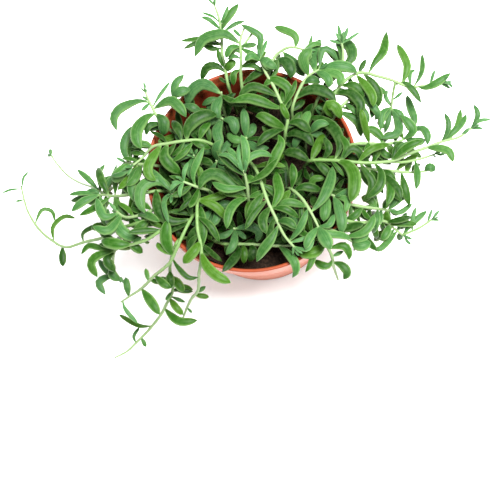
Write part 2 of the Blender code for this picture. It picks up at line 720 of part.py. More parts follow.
def reach(axes, direction):
    """How far each bead reaches in a direction."""
    return np.sqrt((np.einsum("...ij,...j->...i", axes, direction) ** 2).sum(axis=-1))


def clear_of(beads, others):
    """The smallest room between two sets of beads, with the indices of the closest pair."""
    places, axes = beads
    if not len(others[0]):
        return 99.0, 0, 0
    apart = places[:, None] - others[0][None]
    distance = np.linalg.norm(apart, axis=2) + 1e-9
    direction = apart / distance[..., None]
    room = distance - reach(axes[:, None], direction) - reach(others[1][None], direction)
    first, second = np.unravel_index(room.argmin(), room.shape)
    return room[first, second], first, second


def round_beads(points, radius, spacing=1.2):
    places = evenly(points, spacing)
    return places, np.tile(np.eye(3) * radius, (len(places), 1, 1))


def bent_clear(points, radius, fixed, taken, owner):
    """Moves a stem up or down where it would touch another stem or the pot."""
    points = points.copy()
    along = lengths_along(points)
    for _ in range(150):
        beads = round_beads(points, radius)
        low = points.min(axis=0) - 8
        high = points.max(axis=0) + 8
        others = taken.others(owner, low, high)
        room, first, second = clear_of(beads, others)
        pot_room = room_round(beads[0]) - radius
        pot_room[beads[0][:, 2] < SOIL_LEVEL + STEM_RISE] = 99
        if room >= CLEARANCE and pot_room.min() >= CLEARANCE:
            break
        if pot_room.min() < CLEARANCE and pot_room.min() < room:
            first = pot_room.argmin()
            lift = 0.8
        else:
            lift = 0.8 if beads[0][first, 2] >= others[0][second, 2] else -0.8
        where = lengths_along(beads[0])[first] / lengths_along(beads[0])[-1] * along[-1]
        weight = np.exp(-(((along - where) / 11) ** 2))
        weight[:fixed] = 0
        points[:, 2] += lift * weight
    return points, min(room, pot_room.min())


def stem_points(hole, route):
    """The stem's line, from the bottom of its hole in the soil to its tip."""
    foot = np.array((*hole, SOIL_LEVEL + STEM_RISE), float)
    line = evenly(curve_through([foot, *(place(*point) for point in route)]), STEM_STEP)
    return np.vstack([[foot - (0, 0, STEM_DEPTH + STEM_RISE)], line])


def nearest_on(lines, plan):
    """The point of a node's stems that is seen nearest to a place on the plan."""
    dense = np.vstack([evenly(line, 1.0)[first:-2] for line, first in zip(lines, (10, 2, 2))])
    seen = np.array([plan_of(point) for point in dense])
    return dense[np.linalg.norm(seen - plan, axis=1).argmin()]


def leaf_line(root, plan, rise, arch):
    """The middle line of a leaf from its root through the places on the plan, rising to its tip."""
    flat = [plan_of(root), *np.asarray(plan[1:], float)]
    share = lengths_along(np.array(flat))
    share = share / share[-1]
    points = [place(*spot, root[2] + rise * s + arch * math.sin(math.pi * s)) for spot, s in zip(flat, share)]
    return curve_through([root, *points[1:]])


def girth(share):
    """A leaf's width along its length, as a share of its widest."""
    return (1 - abs(2 * share - 1) ** GIRTH_POWER) ** GIRTH_FULLNESS


def leaf_radii(shares, width):
    """Half the leaf's width at shares of its length, with a neck where it leaves the stem."""
    radii = girth(np.asarray(shares, float)) * width / 2
    radii[0] = min(NECK_RADIUS, 0.4 * width)
    return radii


def knots_of(line, width):
    """Where along its length a leaf gets a ring, with its two ends."""
    short = lengths_along(line)[-1] < SHORT_LEAF or width < SMALL_LEAF_WIDTH
    return np.array((0, *(SHORT_LEAF_RINGS if short else LEAF_RINGS), 1))


def leaf_beads(line, width):
    """Beads along a leaf, as wide and as thick as it is there."""
    whole = lengths_along(line)[-1]
    rings = knots_of(line, width)
    knots = at_lengths(line, rings * whole)
    shares = np.linspace(0.06, 0.97, max(6, round(whole / 1.5)))
    places = at_lengths(knots, shares * lengths_along(knots)[-1])
    radius = np.interp(shares, rings, leaf_radii(rings, width))
    along = np.gradient(places, axis=0)
    along /= np.linalg.norm(along, axis=1)[:, None]
    across = np.cross(along, (0, 0, 1.0))
    across /= np.linalg.norm(across, axis=1)[:, None] + 1e-9
    up = np.cross(across, along)
    thick = radius * LEAF_THICKNESS
    axes = np.stack([across * radius[:, None], up * thick[:, None], along * thick[:, None]], axis=1)
    return places, axes


def tries(rng, length):
    """Rises and arches for a leaf, from the most wanted on."""
    wanted = rng.uniform(*LEAF_RISE) * length
    steepest = 0.95 * length
    found = []
    for rise in np.arange(-26, 27, 2.0):
        for arch in (1.5, -2.0, 4.0, -5.0, 7.0):
            if abs(wanted + rise) + abs(arch) < steepest + 3:
                found.append((abs(rise) + 1.3 * abs(arch - 1.5), wanted + rise, arch))
    return [(rise, arch) for _, rise, arch in sorted(found)]


def leaf_that_fits(root, plan, width, taken, owner, rng):
    """The first line for a leaf that touches nothing, or None."""
    flat = np.vstack([plan_of(root), plan[1:]])
    length = lengths_along(flat)[-1]
    low = np.append(flat.min(axis=0), root[2] - 40) - 14
    high = np.append(flat.max(axis=0), root[2] + 40) + 14
    others = taken.others(owner, low, high)
    for rise, arch in tries(rng, length):
        line = leaf_line(root, plan, rise, arch)
        beads = leaf_beads(line, width)
        pot_room = (room_round(beads[0]) - np.linalg.norm(beads[1][:, 1], axis=1)).min()
        if pot_room < CLEARANCE:
            continue
        if clear_of(beads, others)[0] >= CLEARANCE:
            return line, beads
    return None


def lay_out():
    """Every stem's lines and leaves, clear of each other: {name: (lines, leaves)}."""
    rng = random.Random(SEED)
    taken = Taken()
    lines = {}
    for owner, (name, stem) in enumerate(STEMS.items()):
        main = stem_points(stem["hole"], stem["route"])
        main, room = bent_clear(main, STEM_RADIUS, 2, taken, owner)
        lines[name] = [main]
        taken.add(round_beads(main, STEM_RADIUS), owner)
        if room < CLEARANCE:
            print("tight stem", name, round(float(room), 2))
        for shoot in stem.get("shoots", []):
            root = nearest_on([main], np.array(shoot[0][:2]))
            side = evenly(curve_through([root, *(place(*point) for point in shoot[1:])]), STEM_STEP)
            side, room = bent_clear(side, SHOOT_RADIUS, 1, taken, owner)
            lines[name].append(side)
            taken.add(round_beads(side, SHOOT_RADIUS), owner)
    leaves = {name: [] for name in STEMS}
    for owner, (name, stem) in enumerate(STEMS.items()):
        for number, (width, *plan) in enumerate(stem["leaves"]):
            plan = np.array(plan, float)
            root = nearest_on(lines[name], plan[0])
            for narrower in (1, 0.85, 0.7, 0.6):
                found = leaf_that_fits(root, plan, width * narrower, taken, owner, rng)
                if found:
                    break
            if not found:
                print("no room", name, number)
                continue
            taken.add(found[1], owner)
            leaves[name].append((found[0], width * narrower))
    return {name: (lines[name], leaves[name]) for name in STEMS}


def new_object(name, mesh, collection):
    made = bpy.data.objects.new(name, mesh)
    collection.objects.link(made)
    return made


def new_collection(name, parent):
    made = bpy.data.collections.new(name)
    parent.children.link(made)
    return made


def material(name, colour, roughness):
    made = bpy.data.materials.new(name)
    made.use_nodes = True
    shader = made.node_tree.nodes["Principled BSDF"]
    shader.inputs["Base Color"].default_value = (*colour, 1)
    shader.inputs["Roughness"].default_value = roughness
    shader.inputs["Metallic"].default_value = 0
    return made


def section(name, sides, collection):
    """The outline that is drawn along a leaf: wider than it is thick, with one flat edge down."""
    curve = bpy.data.curves.new(name, "CURVE")
    curve.dimensions = "2D"
    spline = curve.splines.new("POLY")
    spline.points.add(sides - 1)
    spline.use_cyclic_u = True
    for number, point in enumerate(spline.points):
        angle = math.tau * (number + 0.5) / sides - math.pi / 2
        point.co = (math.cos(angle) * MM, math.sin(angle) * LEAF_THICKNESS * MM, 0, 1)
    made = new_object(name, curve, collection)
    made.hide_render = True
    made.display_type = "WIRE"
    return made


def swept(name, knots, radii, bevel, collection):
    """A curve with closed ends that is as wide at each knot as its radius in millimetres."""
    curve = bpy.data.curves.new(name, "CURVE")
    curve.dimensions = "3D"
    curve.use_fill_caps = True
    if bevel is None:
        curve.twist_mode = "MINIMUM"
        curve.bevel_depth = MM
        curve.bevel_resolution = STEM_BEVEL
    else:
        curve.twist_mode = "Z_UP"
        curve.bevel_mode = "OBJECT"
        curve.bevel_object = bevel
    spline = curve.splines.new("POLY")
    spline.points.add(len(knots) - 1)
    for point, knot, radius in zip(spline.points, knots, radii):
        point.co = (*(knot * MM), 1)
        point.radius = radius
    return new_object(name + "_curve", curve, collection)


def curves_to_meshes(collection):
    """Turns a collection's curves into closed meshes, with their end caps welded."""
    bpy.context.view_layer.update()
    graph = bpy.context.evaluated_depsgraph_get()
    made = []
    for guide in list(collection.objects):
        mesh = bpy.data.meshes.new_from_object(guide.evaluated_get(graph))
        welded = bmesh.new()
        welded.from_mesh(mesh)
        bmesh.ops.remove_doubles(welded, verts=welded.verts, dist=1e-6)
        bmesh.ops.recalc_face_normals(welded, faces=welded.faces)
        welded.to_mesh(mesh)
        welded.free()
        made.append(new_object(guide.name.removesuffix("_curve"), mesh, collection))
        made[-1].matrix_world = guide.matrix_world
        bpy.data.objects.remove(guide)
    return made


def leaf(name, line, width, sections, collection):
    """A banana-shaped leaf: narrow where it leaves the stem, plump in the middle, pointed at its tip."""
    rings = knots_of(line, width)
    knots = at_lengths(line, rings * lengths_along(line)[-1])
    radii = leaf_radii(rings, width)
    sides = SMALL_LEAF_SIDES if width < SMALL_LEAF_WIDTH else LEAF_SIDES
    return swept(name, knots, radii, sections[sides], collection)


def leafy_stem(name, lines, leaves, sections, collection):
    """One stem with its shoots and leaves, fused into one closed solid."""
    grown = new_collection(name + "_pieces", bpy.context.scene.collection)
    radii = np.full(len(lines[0]), STEM_RADIUS)
    radii[-1] = STEM_RADIUS * TIP_SHARE
    swept(name, lines[0], radii, None, grown)
    for number, line in enumerate(lines[1:]):
        radii = np.full(len(line), SHOOT_RADIUS)
        radii[-1] = SHOOT_RADIUS * TIP_SHARE
        swept(f"{name}_shoot_{number}", line, radii, None, grown)
    for number, (line, width) in enumerate(leaves):
        leaf(f"{name}_leaf_{number}", line, width, sections, grown)
    stem = curves_to_meshes(grown)[0]
    grown.objects.unlink(stem)
    collection.objects.link(stem)
    fuse(stem, grown)
    return stem


def fuse(base, collection):
    """Joins a collection's meshes to the base with one Boolean union, and removes them."""
    union = base.modifiers.new("leaves", "BOOLEAN")
    union.operation = "UNION"
    union.operand_type = "COLLECTION"
    union.collection = collection
    union.solver = "MANIFOLD"
    bpy.context.view_layer.update()
    graph = bpy.context.evaluated_depsgraph_get()
    joined = bpy.data.meshes.new_from_object(base.evaluated_get(graph))
    base.modifiers.remove(union)
    base.data = joined
    for piece in list(collection.objects):
        bpy.data.objects.remove(piece)
    bpy.data.collections.remove(collection)


def turned(name, profile, collection):
    """A solid of revolution about Z from a profile of (radius, height), top to bottom."""
    mesh = bpy.data.meshes.new(name)
    points = [(radius * MM, 0, height * MM) for radius, height in profile]
    mesh.from_pydata(points, [(i, i + 1) for i in range(len(points) - 1)], [])
    made = new_object(name, mesh, collection)
    turn = made.modifiers.new("turn", "SCREW")
    turn.steps = TURN_STEPS
    turn.render_steps = TURN_STEPS
    turn.use_merge_vertices = True
    turn.merge_threshold = 1e-6
    return made


def cutter(name, place_at, radius, depth, sides, collection):
    """An upright prism whose flats are a radius from its middle."""
    solid = bmesh.new()
    corner = radius / math.cos(math.pi / sides)
    bmesh.ops.create_cone(solid, cap_ends=True, segments=sides, radius1=corner * MM, radius2=corner * MM,
                          depth=depth * MM)
    mesh = bpy.data.meshes.new(name)
    solid.to_mesh(mesh)
    solid.free()
    made = new_object(name, mesh, collection)
    made.location = [value * MM for value in place_at]
    made.hide_render = True
    made.display_type = "WIRE"
    return made


def cut(piece, collection):
    holes = piece.modifiers.new("holes", "BOOLEAN")
    holes.operation = "DIFFERENCE"
    holes.operand_type = "COLLECTION"
    holes.collection = collection


def make_pot(collection, cutters):
    lip_under = RIM_RADIUS - LIP_STEP
    floor_radius = BASE_RADIUS - WALL + BASE_THICKNESS * (lip_under - BASE_RADIUS) / (POT_HEIGHT - LIP_HEIGHT)
    profile = [
        (0, BASE_THICKNESS),
        (floor_radius, BASE_THICKNESS),
        (lip_under - WALL, POT_HEIGHT - LIP_HEIGHT),
        (RIM_RADIUS - LIP_WIDTH, POT_HEIGHT - LIP_HEIGHT + 2),
        (RIM_RADIUS - LIP_WIDTH, POT_HEIGHT - 0.5),
        (RIM_RADIUS - LIP_WIDTH + 0.5, POT_HEIGHT),
        (RIM_RADIUS - 0.6, POT_HEIGHT),
        (RIM_RADIUS, POT_HEIGHT - 0.6),
        (RIM_RADIUS, POT_HEIGHT - LIP_HEIGHT),
        (lip_under, POT_HEIGHT - LIP_HEIGHT - 0.6),
        (BASE_RADIUS, 0),
        (0, 0),
    ]
    pot = turned("pot", profile, collection)
    for number in range(DRAIN_HOLES):
        angle = math.tau * number / DRAIN_HOLES
        middle = (DRAIN_CIRCLE * math.cos(angle), DRAIN_CIRCLE * math.sin(angle), 0)
        cutter(f"drain_{number}", middle, DRAIN_RADIUS, 4 * BASE_THICKNESS, HOLE_SIDES, cutters)
    cut(pot, cutters)
    return pot


def make_soil(collection, cutters):
    floor = BASE_THICKNESS + GAP
    slope = (RIM_RADIUS - LIP_STEP - BASE_RADIUS) / (POT_HEIGHT - LIP_HEIGHT)
    inner = BASE_RADIUS - WALL - 1.5 * GAP
    profile = [
        (0, SOIL_LEVEL),
        (inner + slope * SOIL_LEVEL, SOIL_LEVEL),
        (inner + slope * floor, floor),
        (0, floor),
    ]
    soil = turned("soil", profile, collection)
    for name, stem in STEMS.items():
        bottom = SOIL_LEVEL - STEM_DEPTH - GAP
        middle = (*stem["hole"], bottom + 10)
        cutter(name + "_hole", middle, STEM_RADIUS + GAP, 20, HOLE_SIDES, cutters)
    cut(soil, cutters)
    return soil


def clear_scene():
    for thing in list(bpy.data.objects):
        bpy.data.objects.remove(thing)


def finish(piece, look):
    piece.data.materials.clear()
    piece.data.materials.append(look)
    piece.data.shade_smooth()
    piece.data.set_sharp_from_angle(angle=math.radians(40))


def main():
    clear_scene()
    scene = bpy.context.scene.collection
    parts = new_collection("string_of_bananas", scene)
    pot_cutters = new_collection("pot_cutters", scene)
    soil_cutters = new_collection("soil_cutters", scene)
    outlines = new_collection("leaf_outlines", scene)
    sections = {sides: section(f"outline_{sides}", sides, outlines) for sides in (SMALL_LEAF_SIDES, LEAF_SIDES)}
    plastic = material("terracotta_plastic", (0.56, 0.13, 0.05), 0.45)
    peat = material("potting_soil", (0.02, 0.013, 0.008), 0.95)
    green = material("succulent_green", (0.09, 0.25, 0.06), 0.42)
    for name, (lines, leaves) in lay_out().items():
        finish(leafy_stem(name, lines, leaves, sections, parts), green)
    finish(make_pot(parts, pot_cutters), plastic)
    finish(make_soil(parts, soil_cutters), peat)


main()
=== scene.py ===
# %% [markdown]
# # A potted string of bananas
#
# This plant is a trailing succulent. Thin stems rise from dark soil, lean over the lip of a plastic
# nursery pot and hang down, and each stem carries plump leaves that are shaped like small bananas.
# The packed model holds the pot, the soil and one plain solid for each leafy stem. This script builds
# a finer piece for each of them, in the same place, and then the skin, the plastic and the peat.

# %% Load the packed model
import json
import math
import random

import bmesh
import bpy
import numpy as np
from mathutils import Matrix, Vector, noise

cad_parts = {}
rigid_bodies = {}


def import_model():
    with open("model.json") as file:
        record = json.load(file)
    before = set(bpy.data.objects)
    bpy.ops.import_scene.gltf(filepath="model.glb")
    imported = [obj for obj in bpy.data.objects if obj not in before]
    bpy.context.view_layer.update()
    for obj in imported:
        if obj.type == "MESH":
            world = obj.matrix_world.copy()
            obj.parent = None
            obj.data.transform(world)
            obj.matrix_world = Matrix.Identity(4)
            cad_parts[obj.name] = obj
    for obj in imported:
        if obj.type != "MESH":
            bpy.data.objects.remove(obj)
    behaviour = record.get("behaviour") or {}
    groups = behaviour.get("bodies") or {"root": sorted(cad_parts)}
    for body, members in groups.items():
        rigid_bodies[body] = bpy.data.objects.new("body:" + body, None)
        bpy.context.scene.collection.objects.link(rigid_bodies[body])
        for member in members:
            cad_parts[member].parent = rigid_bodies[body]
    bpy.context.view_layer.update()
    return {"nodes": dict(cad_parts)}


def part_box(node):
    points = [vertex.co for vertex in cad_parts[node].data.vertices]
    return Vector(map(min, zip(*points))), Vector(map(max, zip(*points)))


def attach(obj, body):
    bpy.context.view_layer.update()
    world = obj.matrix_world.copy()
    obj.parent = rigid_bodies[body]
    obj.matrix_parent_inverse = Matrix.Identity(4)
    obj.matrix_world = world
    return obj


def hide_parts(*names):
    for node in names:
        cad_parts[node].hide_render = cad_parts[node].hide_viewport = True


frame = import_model()
MM = 0.001


def add_object(name, data):
    """A new object in the scene that shows a mesh, a camera or a light."""
    made = bpy.data.objects.new(name, data)
    bpy.context.scene.collection.objects.link(made)
    return made


print("nodes in the frame:", len(frame["nodes"]))

# %% [markdown]
# ## The camera
#
# The picture was taken from above and a little in front, with a long lens. The camera starts out
# looking straight down, is tilted back towards the viewer and then turned a little to the side.
# The same eye point serves later, when the plant's plan is read: what is seen at a place on the level
# of the rim can be put at any height along that line of sight without changing the picture.

# %% Camera
EYE = (48.0, -183.0, 694.0)
CAMERA_TILT = math.radians(13.2)
CAMERA_TURN = math.radians(4.74)
LENS = 80.8
SENSOR = 36.0
SEES_AS_FAR_AS = 20


def add_camera():
    data = bpy.data.cameras.new("camera")
    data.lens = LENS
    data.sensor_width = SENSOR
    data.clip_end = SEES_AS_FAR_AS
    camera = add_object("camera", data)
    camera.location = [value * MM for value in EYE]
    camera.rotation_mode = "ZYX"
    camera.rotation_euler = (CAMERA_TILT, CAMERA_TURN, 0)
    bpy.context.scene.camera = camera


add_camera()
print("camera at", EYE, "mm")

# %% [markdown]
# ## The plan of the plant
#
# The plan is read from above, in millimetres from the pot's axis, on the level of the pot's rim. So
# the pot's own sizes come first.

# %% Sizes of the pot, in millimetres
POT_HEIGHT = 100.0
RIM_RADIUS = 60.0
BASE_RADIUS = 44.5
WALL = 1.2
LIP_HEIGHT = 9.0
LIP_WIDTH = 2.0
LIP_STEP = 2.4
BASE_THICKNESS = 1.6
SOIL_LEVEL = 75.0
print("pot", 2 * RIM_RADIUS, "mm wide and", POT_HEIGHT, "mm high")

# %% [markdown]
# A leafy stem could be grown by a rule, but then no leaf would lie where the real one lies. Here each
# stem is a short list instead: its hole in the soil, the places that its stem passes through with a
# height for each, its side shoots, and its leaves. A leaf is its width and the places on the plan from
# its root to its tip.

# %% The stems and their leaves
STEMS = {
    "runner_left": {
        "hole": (-40, -22),
        "route": [
            (-48, -26, 98), (-58, -30, 104), (-67, -33, 98), (-74, -35, 88), (-82, -40, 75),
            (-94, -43, 60), (-104, -46, 46), (-110, -43, 38), (-115, -40, 32), (-122, -33, 24),
            (-128, -23, 17), (-131, -13, 13), (-132, -10, 12),
        ],
        "leaves": [
            (1.6, (-132, -10), (-138, -12), (-143, -14)),
            (1.6, (-132, -10), (-131, -5), (-128, -1)),
            (1.6, (-130, -18), (-135, -19)),
            (2.6, (-122, -32), (-119, -24), (-113, -25), (-111, -31)),
            (3, (-111, -42), (-112, -34), (-106, -28), (-99, -29)),
            (4.6, (-106, -46), (-105, -57)),
            (3, (-94, -43), (-94, -37), (-82, -31)),
        ],
    },
    "cluster_left": {
        "hole": (-42, -10),
        "route": [(-50, -13, 100), (-58, -14, 104), (-67, -15, 100), (-77, -16, 91), (-87, -15, 80)],
        "shoots": [
            [(-82, -16, 85), (-90, -11, 66), (-98, -8, 44), (-106, -3, 22), (-114, 6, 6), (-116, 9, 5)],
        ],
        "leaves": [
            (3.6, (-86, -12), (-93, -6), (-100, 0)),
            (3, (-86, -16), (-95, -14), (-104, -15)),
            (5, (-86, -17), (-95, -19), (-102, -25)),
            (3, (-85, -13), (-87, -3), (-84, 3)),
            (4.6, (-84, -14), (-81, -8), (-77, -4)),
            (5, (-78, -17), (-74, -26), (-69, -30)),
            (2.4, (-83, -13), (-79, -4), (-77, 3)),
        ],
    },
    "cluster_left_back": {
        "hole": (-44, 2),
        "route": [(-52, 2, 100), (-59, 2, 104), (-66, 3, 102), (-73, 4, 97)],
        "leaves": [
            (7.5, (-70, 2), (-75, -3), (-80, -6)),
            (3.2, (-68, 9), (-66, 3), (-66, -3)),
            (5, (-70, 4), (-73, 10), (-73, 17), (-69, 26)),
            (4.5, (-63, 3), (-66, -6), (-71, -10)),
        ],
    },
    "cluster_left_middle": {
        "hole": (-37, -15),
        "route": [(-46, -20, 97), (-56, -25, 104), (-66, -28, 100), (-74, -28, 95), (-77, -24, 93)],
        "leaves": [
            (5, (-76, -28), (-83, -28), (-88, -17)),
            (6.5, (-76, -26), (-74, -34), (-69, -39), (-61, -41)),
            (5, (-74, -29), (-80, -36), (-89, -34)),
            (5, (-62, -27), (-58, -31), (-53, -32)),
            (3.2, (-68, -28), (-63, -31), (-58, -38)),
        ],
    },
    "cluster_left_front": {
        "hole": (-36, -30),
        "route": [(-46, -36, 98), (-52, -39, 104), (-61, -43, 100), (-70, -45, 92), (-76, -48, 82),
                  (-76, -58, 66), (-72, -64, 56)],
        "leaves": [
            (6.5, (-66, -46), (-75, -44), (-84, -42)),
            (3.6, (-76, -47), (-85, -46), (-91, -45), (-95, -50)),
            (5, (-76, -47), (-86, -51), (-89, -56), (-85, -63)),
            (4, (-72, -64), (-79, -60), (-85, -53)),
            (4.5, (-72, -64), (-77, -62), (-84, -66), (-80, -73)),
            (3.6, (-68, -45), (-60, -49)),
            (2.6, (-66, -44), (-61, -40)),
        ],
    },
    "strand_front_left_long": {
        "hole": (-26, -5),
        "route": [
            (-29, -9, 103), (-30, -17, 110), (-30, -26, 112), (-29, -39, 111), (-27, -46, 109),
            (-27, -54, 105), (-28, -62, 94), (-28, -70, 80), (-31, -74, 70), (-34, -80, 58), (-37, -89, 44),
        ],
        "leaves": [
            (5.5, (-27, -48), (-24, -56), (-18, -62), (-10, -66)),
            (5.5, (-29, -42), (-31, -48), (-37, -55)),
            (4.5, (-28, -47), (-26, -37), (-28, -22)),
            (4.5, (-30, -18), (-20, -17), (-13, -14), (-6, -13)),
            (2.6, (-29, -72), (-24, -68)),
            (3, (-30, -73), (-22, -74)),
            (1.6, (-34, -80), (-31, -83)),
        ],
    },
    "strand_front_left_middle": {
        "hole": (-26, -20),
        "route": [
            (-30, -26, 101), (-33, -29, 106), (-36, -35, 108), (-41, -47, 105), (-44, -54, 99),
            (-49, -59, 90), (-55, -64, 80), (-59, -69, 71), (-64, -72, 63), (-69, -76, 55), (-71, -77, 52),
        ],
        "leaves": [
            (5, (-33, -28), (-35, -20), (-38, -10)),
            (6, (-34, -29), (-41, -31), (-47, -30), (-52, -24), (-54, -12)),
            (6.5, (-43, -51), (-47, -42), (-47, -30)),
            (3, (-43, -52), (-40, -57), (-34, -63), (-28, -63)),
            (2.6, (-56, -65), (-58, -58)),
            (5.5, (-59, -70), (-54, -77), (-49, -84)),
            (4, (-67, -74), (-68, -68), (-69, -63)),
            (2.6, (-70, -77), (-69, -80), (-66, -84), (-61, -89)),
            (3, (-55, -65), (-49, -66)),
            (3.4, (-43, -50), (-50, -46), (-52, -43)),
        ],
    },
    "strand_front_left_low": {
        "hole": (-32, -36),
        "route": [
            (-38, -41, 98), (-41, -44, 103), (-44, -54, 90), (-44, -61, 78), (-42, -68, 67),
            (-43, -73, 59), (-45, -77, 53), (-49, -85, 43), (-57, -95, 31), (-65, -103, 22),
            (-68, -106, 19), (-73, -108, 17),
        ],
        "leaves": [
            (3.6, (-43, -67), (-50, -63)),
            (5, (-43, -62), (-40, -66), (-36, -71)),
            (3, (-42, -70), (-31, -71)),
            (2.2, (-43, -71), (-46, -76)),
            (2.2, (-43, -74), (-35, -77)),
            (4, (-43, -75), (-40, -80), (-36, -84)),
            (5, (-46, -81), (-41, -86), (-36, -88), (-28, -87)),
            (3, (-53, -91), (-61, -90), (-72, -84)),
            (2.2, (-62, -99), (-63, -96), (-60, -91)),
            (2.6, (-58, -97), (-56, -102)),
        ],
    },
    "rosette_left_inner": {
        "hole": (-19, -12),
        "route": [(-24, -13, 104), (-30, -11, 112), (-37, -8, 116), (-40, -7, 117)],
        "leaves": [
            (2.6, (-39, -7), (-38, -2), (-36, 4)),
            (2.6, (-39, -7), (-43, -9), (-46, -13)),
            (2.4, (-38, -8), (-40, -12), (-40, -17)),
            (4, (-31, -10), (-33, -3), (-30, 6), (-27, 13)),
        ],
    },
    "rosette_left_outer": {
        "hole": (-37, -6),
        "route": [(-42, -11, 103), (-45, -15, 110)],
        "leaves": [
            (4, (-45, -14), (-51, -7), (-59, 1)),
            (2.4, (-45, -14), (-40, -5)),
            (3, (-45, -15), (-49, -20), (-46, -32)),
            (6.5, (-46, -11), (-50, -8), (-56, -7), (-62, -11), (-63, -18), (-60, -26)),
        ],
    },
    "spray_back_left": {
        "hole": (-36, 20),
        "route": [
            (-45, 22, 99), (-51, 26, 105), (-54, 30, 107), (-56, 37, 108), (-60, 40, 110), (-63, 48, 112),
        ],
        "leaves": [
            (2.2, (-56, 38), (-54, 44), (-48, 53)),
            (5.5, (-60, 40), (-66, 41), (-76, 37), (-80, 31), (-78, 23)),
            (2.2, (-60, 40), (-64, 35)),
            (1.6, (-60, 41), (-64, 44)),
            (6, (-56, 37), (-48, 41), (-42, 37), (-38, 31)),
            (6.5, (-55, 34), (-51, 28), (-51, 20)),
            (7, (-55, 33), (-61, 31), (-66, 24), (-66, 17), (-63, 12)),
            (4, (-53, 26), (-59, 26), (-61, 20)),
        ],
    },
    "tuft_back_left": {
        "hole": (-28, 30),
        "route": [(-38, 36, 99), (-44, 40, 106), (-48, 43, 109)],
        "leaves": [
            (6, (-47, 42), (-43, 46), (-36, 48)),
            (4.5, (-48, 43), (-45, 51), (-40, 57)),
            (5, (-41, 38), (-35, 37), (-29, 33)),
        ],
    },
    "tuft_back": {
        "hole": (-16, 34),
        "route": [(-18, 41, 100), (-18, 46, 109)],
        "leaves": [
            (7, (-18, 45), (-28, 51), (-35, 47), (-38, 38)),
            (6, (-18, 44), (-21, 36), (-19, 30)),
            (4, (-18, 42), (-24, 41), (-29, 38)),
        ],
    },
    "stem_left_upper": {
        "hole": (-17, 9),
        "route": [
            (-22, 14, 105), (-30, 17, 110), (-36, 18, 112), (-40, 16, 112), (-44, 15, 112), (-51, 15, 110),
            (-57, 13, 108), (-60, 10, 106), (-62, 7, 104), (-69, 1, 107),
        ],
        "leaves": [
            (7.5, (-37, 18), (-37, 23), (-33, 29), (-27, 32), (-20, 32)),
            (6.5, (-48, 14), (-50, 8), (-47, 3), (-40, -3)),
            (5.5, (-52, 14), (-57, 6), (-59, 1), (-58, -4), (-54, -7)),
            (5, (-40, 16), (-42, 23), (-46, 29)),
            (4, (-57, 13), (-63, 15), (-69, 13)),
            (3, (-69, 1), (-74, -3), (-80, -4)),
            (4.5, (-30, 17), (-28, 23), (-24, 28)),
        ],
    },
    "stem_left_inner": {
        "hole": (-28, 4),
        "route": [(-31, 6, 98), (-33, 8, 108)],
        "leaves": [
            (4.5, (-33, 8), (-38, 14), (-44, 21)),
            (6, (-33, 8), (-34, 0), (-33, -7)),
            (5.5, (-32, 7), (-26, 11), (-20, 9)),
            (5, (-33, 8), (-41, 7), (-47, 2)),
        ],
    },
    "spray_back_long": {
        "hole": (-11, 42),
        "route": [
            (-14, 50, 105), (-16, 60, 107), (-18, 68, 107), (-18, 74, 107), (-19, 84, 109), (-20, 88, 111),
            (-21, 96, 114), (-24, 102, 117),
        ],
        "leaves": [
            (1.6, (-20, 89), (-24, 93), (-31, 96)),
            (2.6, (-20, 85), (-26, 91), (-31, 93)),
            (4.5, (-19, 84), (-16, 91), (-9, 101)),
            (2.2, (-20, 88), (-17, 94), (-15, 100)),
            (2.6, (-19, 82), (-11, 88), (-5, 90)),
            (3.5, (-18, 73), (-24, 73), (-30, 76)),
            (3, (-19, 76), (-30, 79), (-43, 78)),
            (3, (-19, 75), (-31, 77), (-41, 73)),
            (3, (-16, 60), (-19, 66), (-21, 73)),
            (5, (-16, 58), (-21, 62), (-27, 61), (-30, 53)),
        ],
    },
    "spray_back_middle": {
        "hole": (-5, 38),
        "route": [(-6, 48, 104), (-7, 56, 109), (-7, 64, 114), (-7, 75, 119), (-8, 80, 120), (-5, 87, 121)],
        "shoots": [[(-7, 72, 118), (-2, 80, 118), (1, 85, 119)]],
        "leaves": [
            (6.5, (-8, 75), (-12, 79), (-17, 82), (-24, 81), (-30, 78), (-34, 68)),
            (2, (-8, 80), (-12, 85)),
            (3, (-7, 73), (-2, 70), (3, 68)),
            (4, (-7, 74), (-13, 73), (-16, 67)),
            (3, (-7, 74), (2, 75)),
            (2.6, (-7, 66), (-11, 68), (-15, 66)),
            (4, (-7, 60), (-11, 57), (-11, 50)),
            (3, (-7, 61), (0, 62), (6, 58)),
        ],
    },
    "spray_back_right": {
        "hole": (17, 13),
        "route": [
            (19, 20, 103), (21, 27, 107), (20, 32, 110), (18, 37, 112), (15, 42, 113), (13, 47, 114),
            (10, 54, 115), (6, 60, 116), (3, 68, 118),
        ],
        "leaves": [
            (2.2, (3, 67), (8, 78)),
            (4, (3, 67), (4, 75), (4, 80), (-1, 84), (-8, 88)),
            (4, (4, 65), (-1, 68), (-5, 65)),
            (5, (5, 64), (9, 63), (14, 60)),
            (5, (14, 42), (7, 47), (-1, 49), (-8, 43)),
            (5.5, (20, 36), (21, 46), (17, 51), (11, 53), (6, 49)),
            (6, (18, 35), (12, 37), (5, 40), (-3, 42), (-12, 40)),
            (3.6, (16, 40), (18, 35), (21, 29)),
            (6, (19, 23), (11, 28), (6, 31), (2, 31)),
            (5, (19, 23), (14, 22), (8, 19), (3, 13)),
            (3, (18, 37), (23, 46), (25, 53)),
            (6, (19, 19), (25, 21), (31, 19), (35, 13)),
            (5.5, (21, 26), (27, 27), (34, 21)),
        ],
    },
    "spray_back_short": {
        "hole": (7, 42),
        "route": [(9, 52, 103), (11, 62, 104), (14, 70, 106), (20, 73, 108), (31, 71, 110)],
        "leaves": [
            (4.5, (24, 73), (25, 78), (22, 82), (12, 86)),
            (5, (31, 71), (32, 68), (26, 63)),
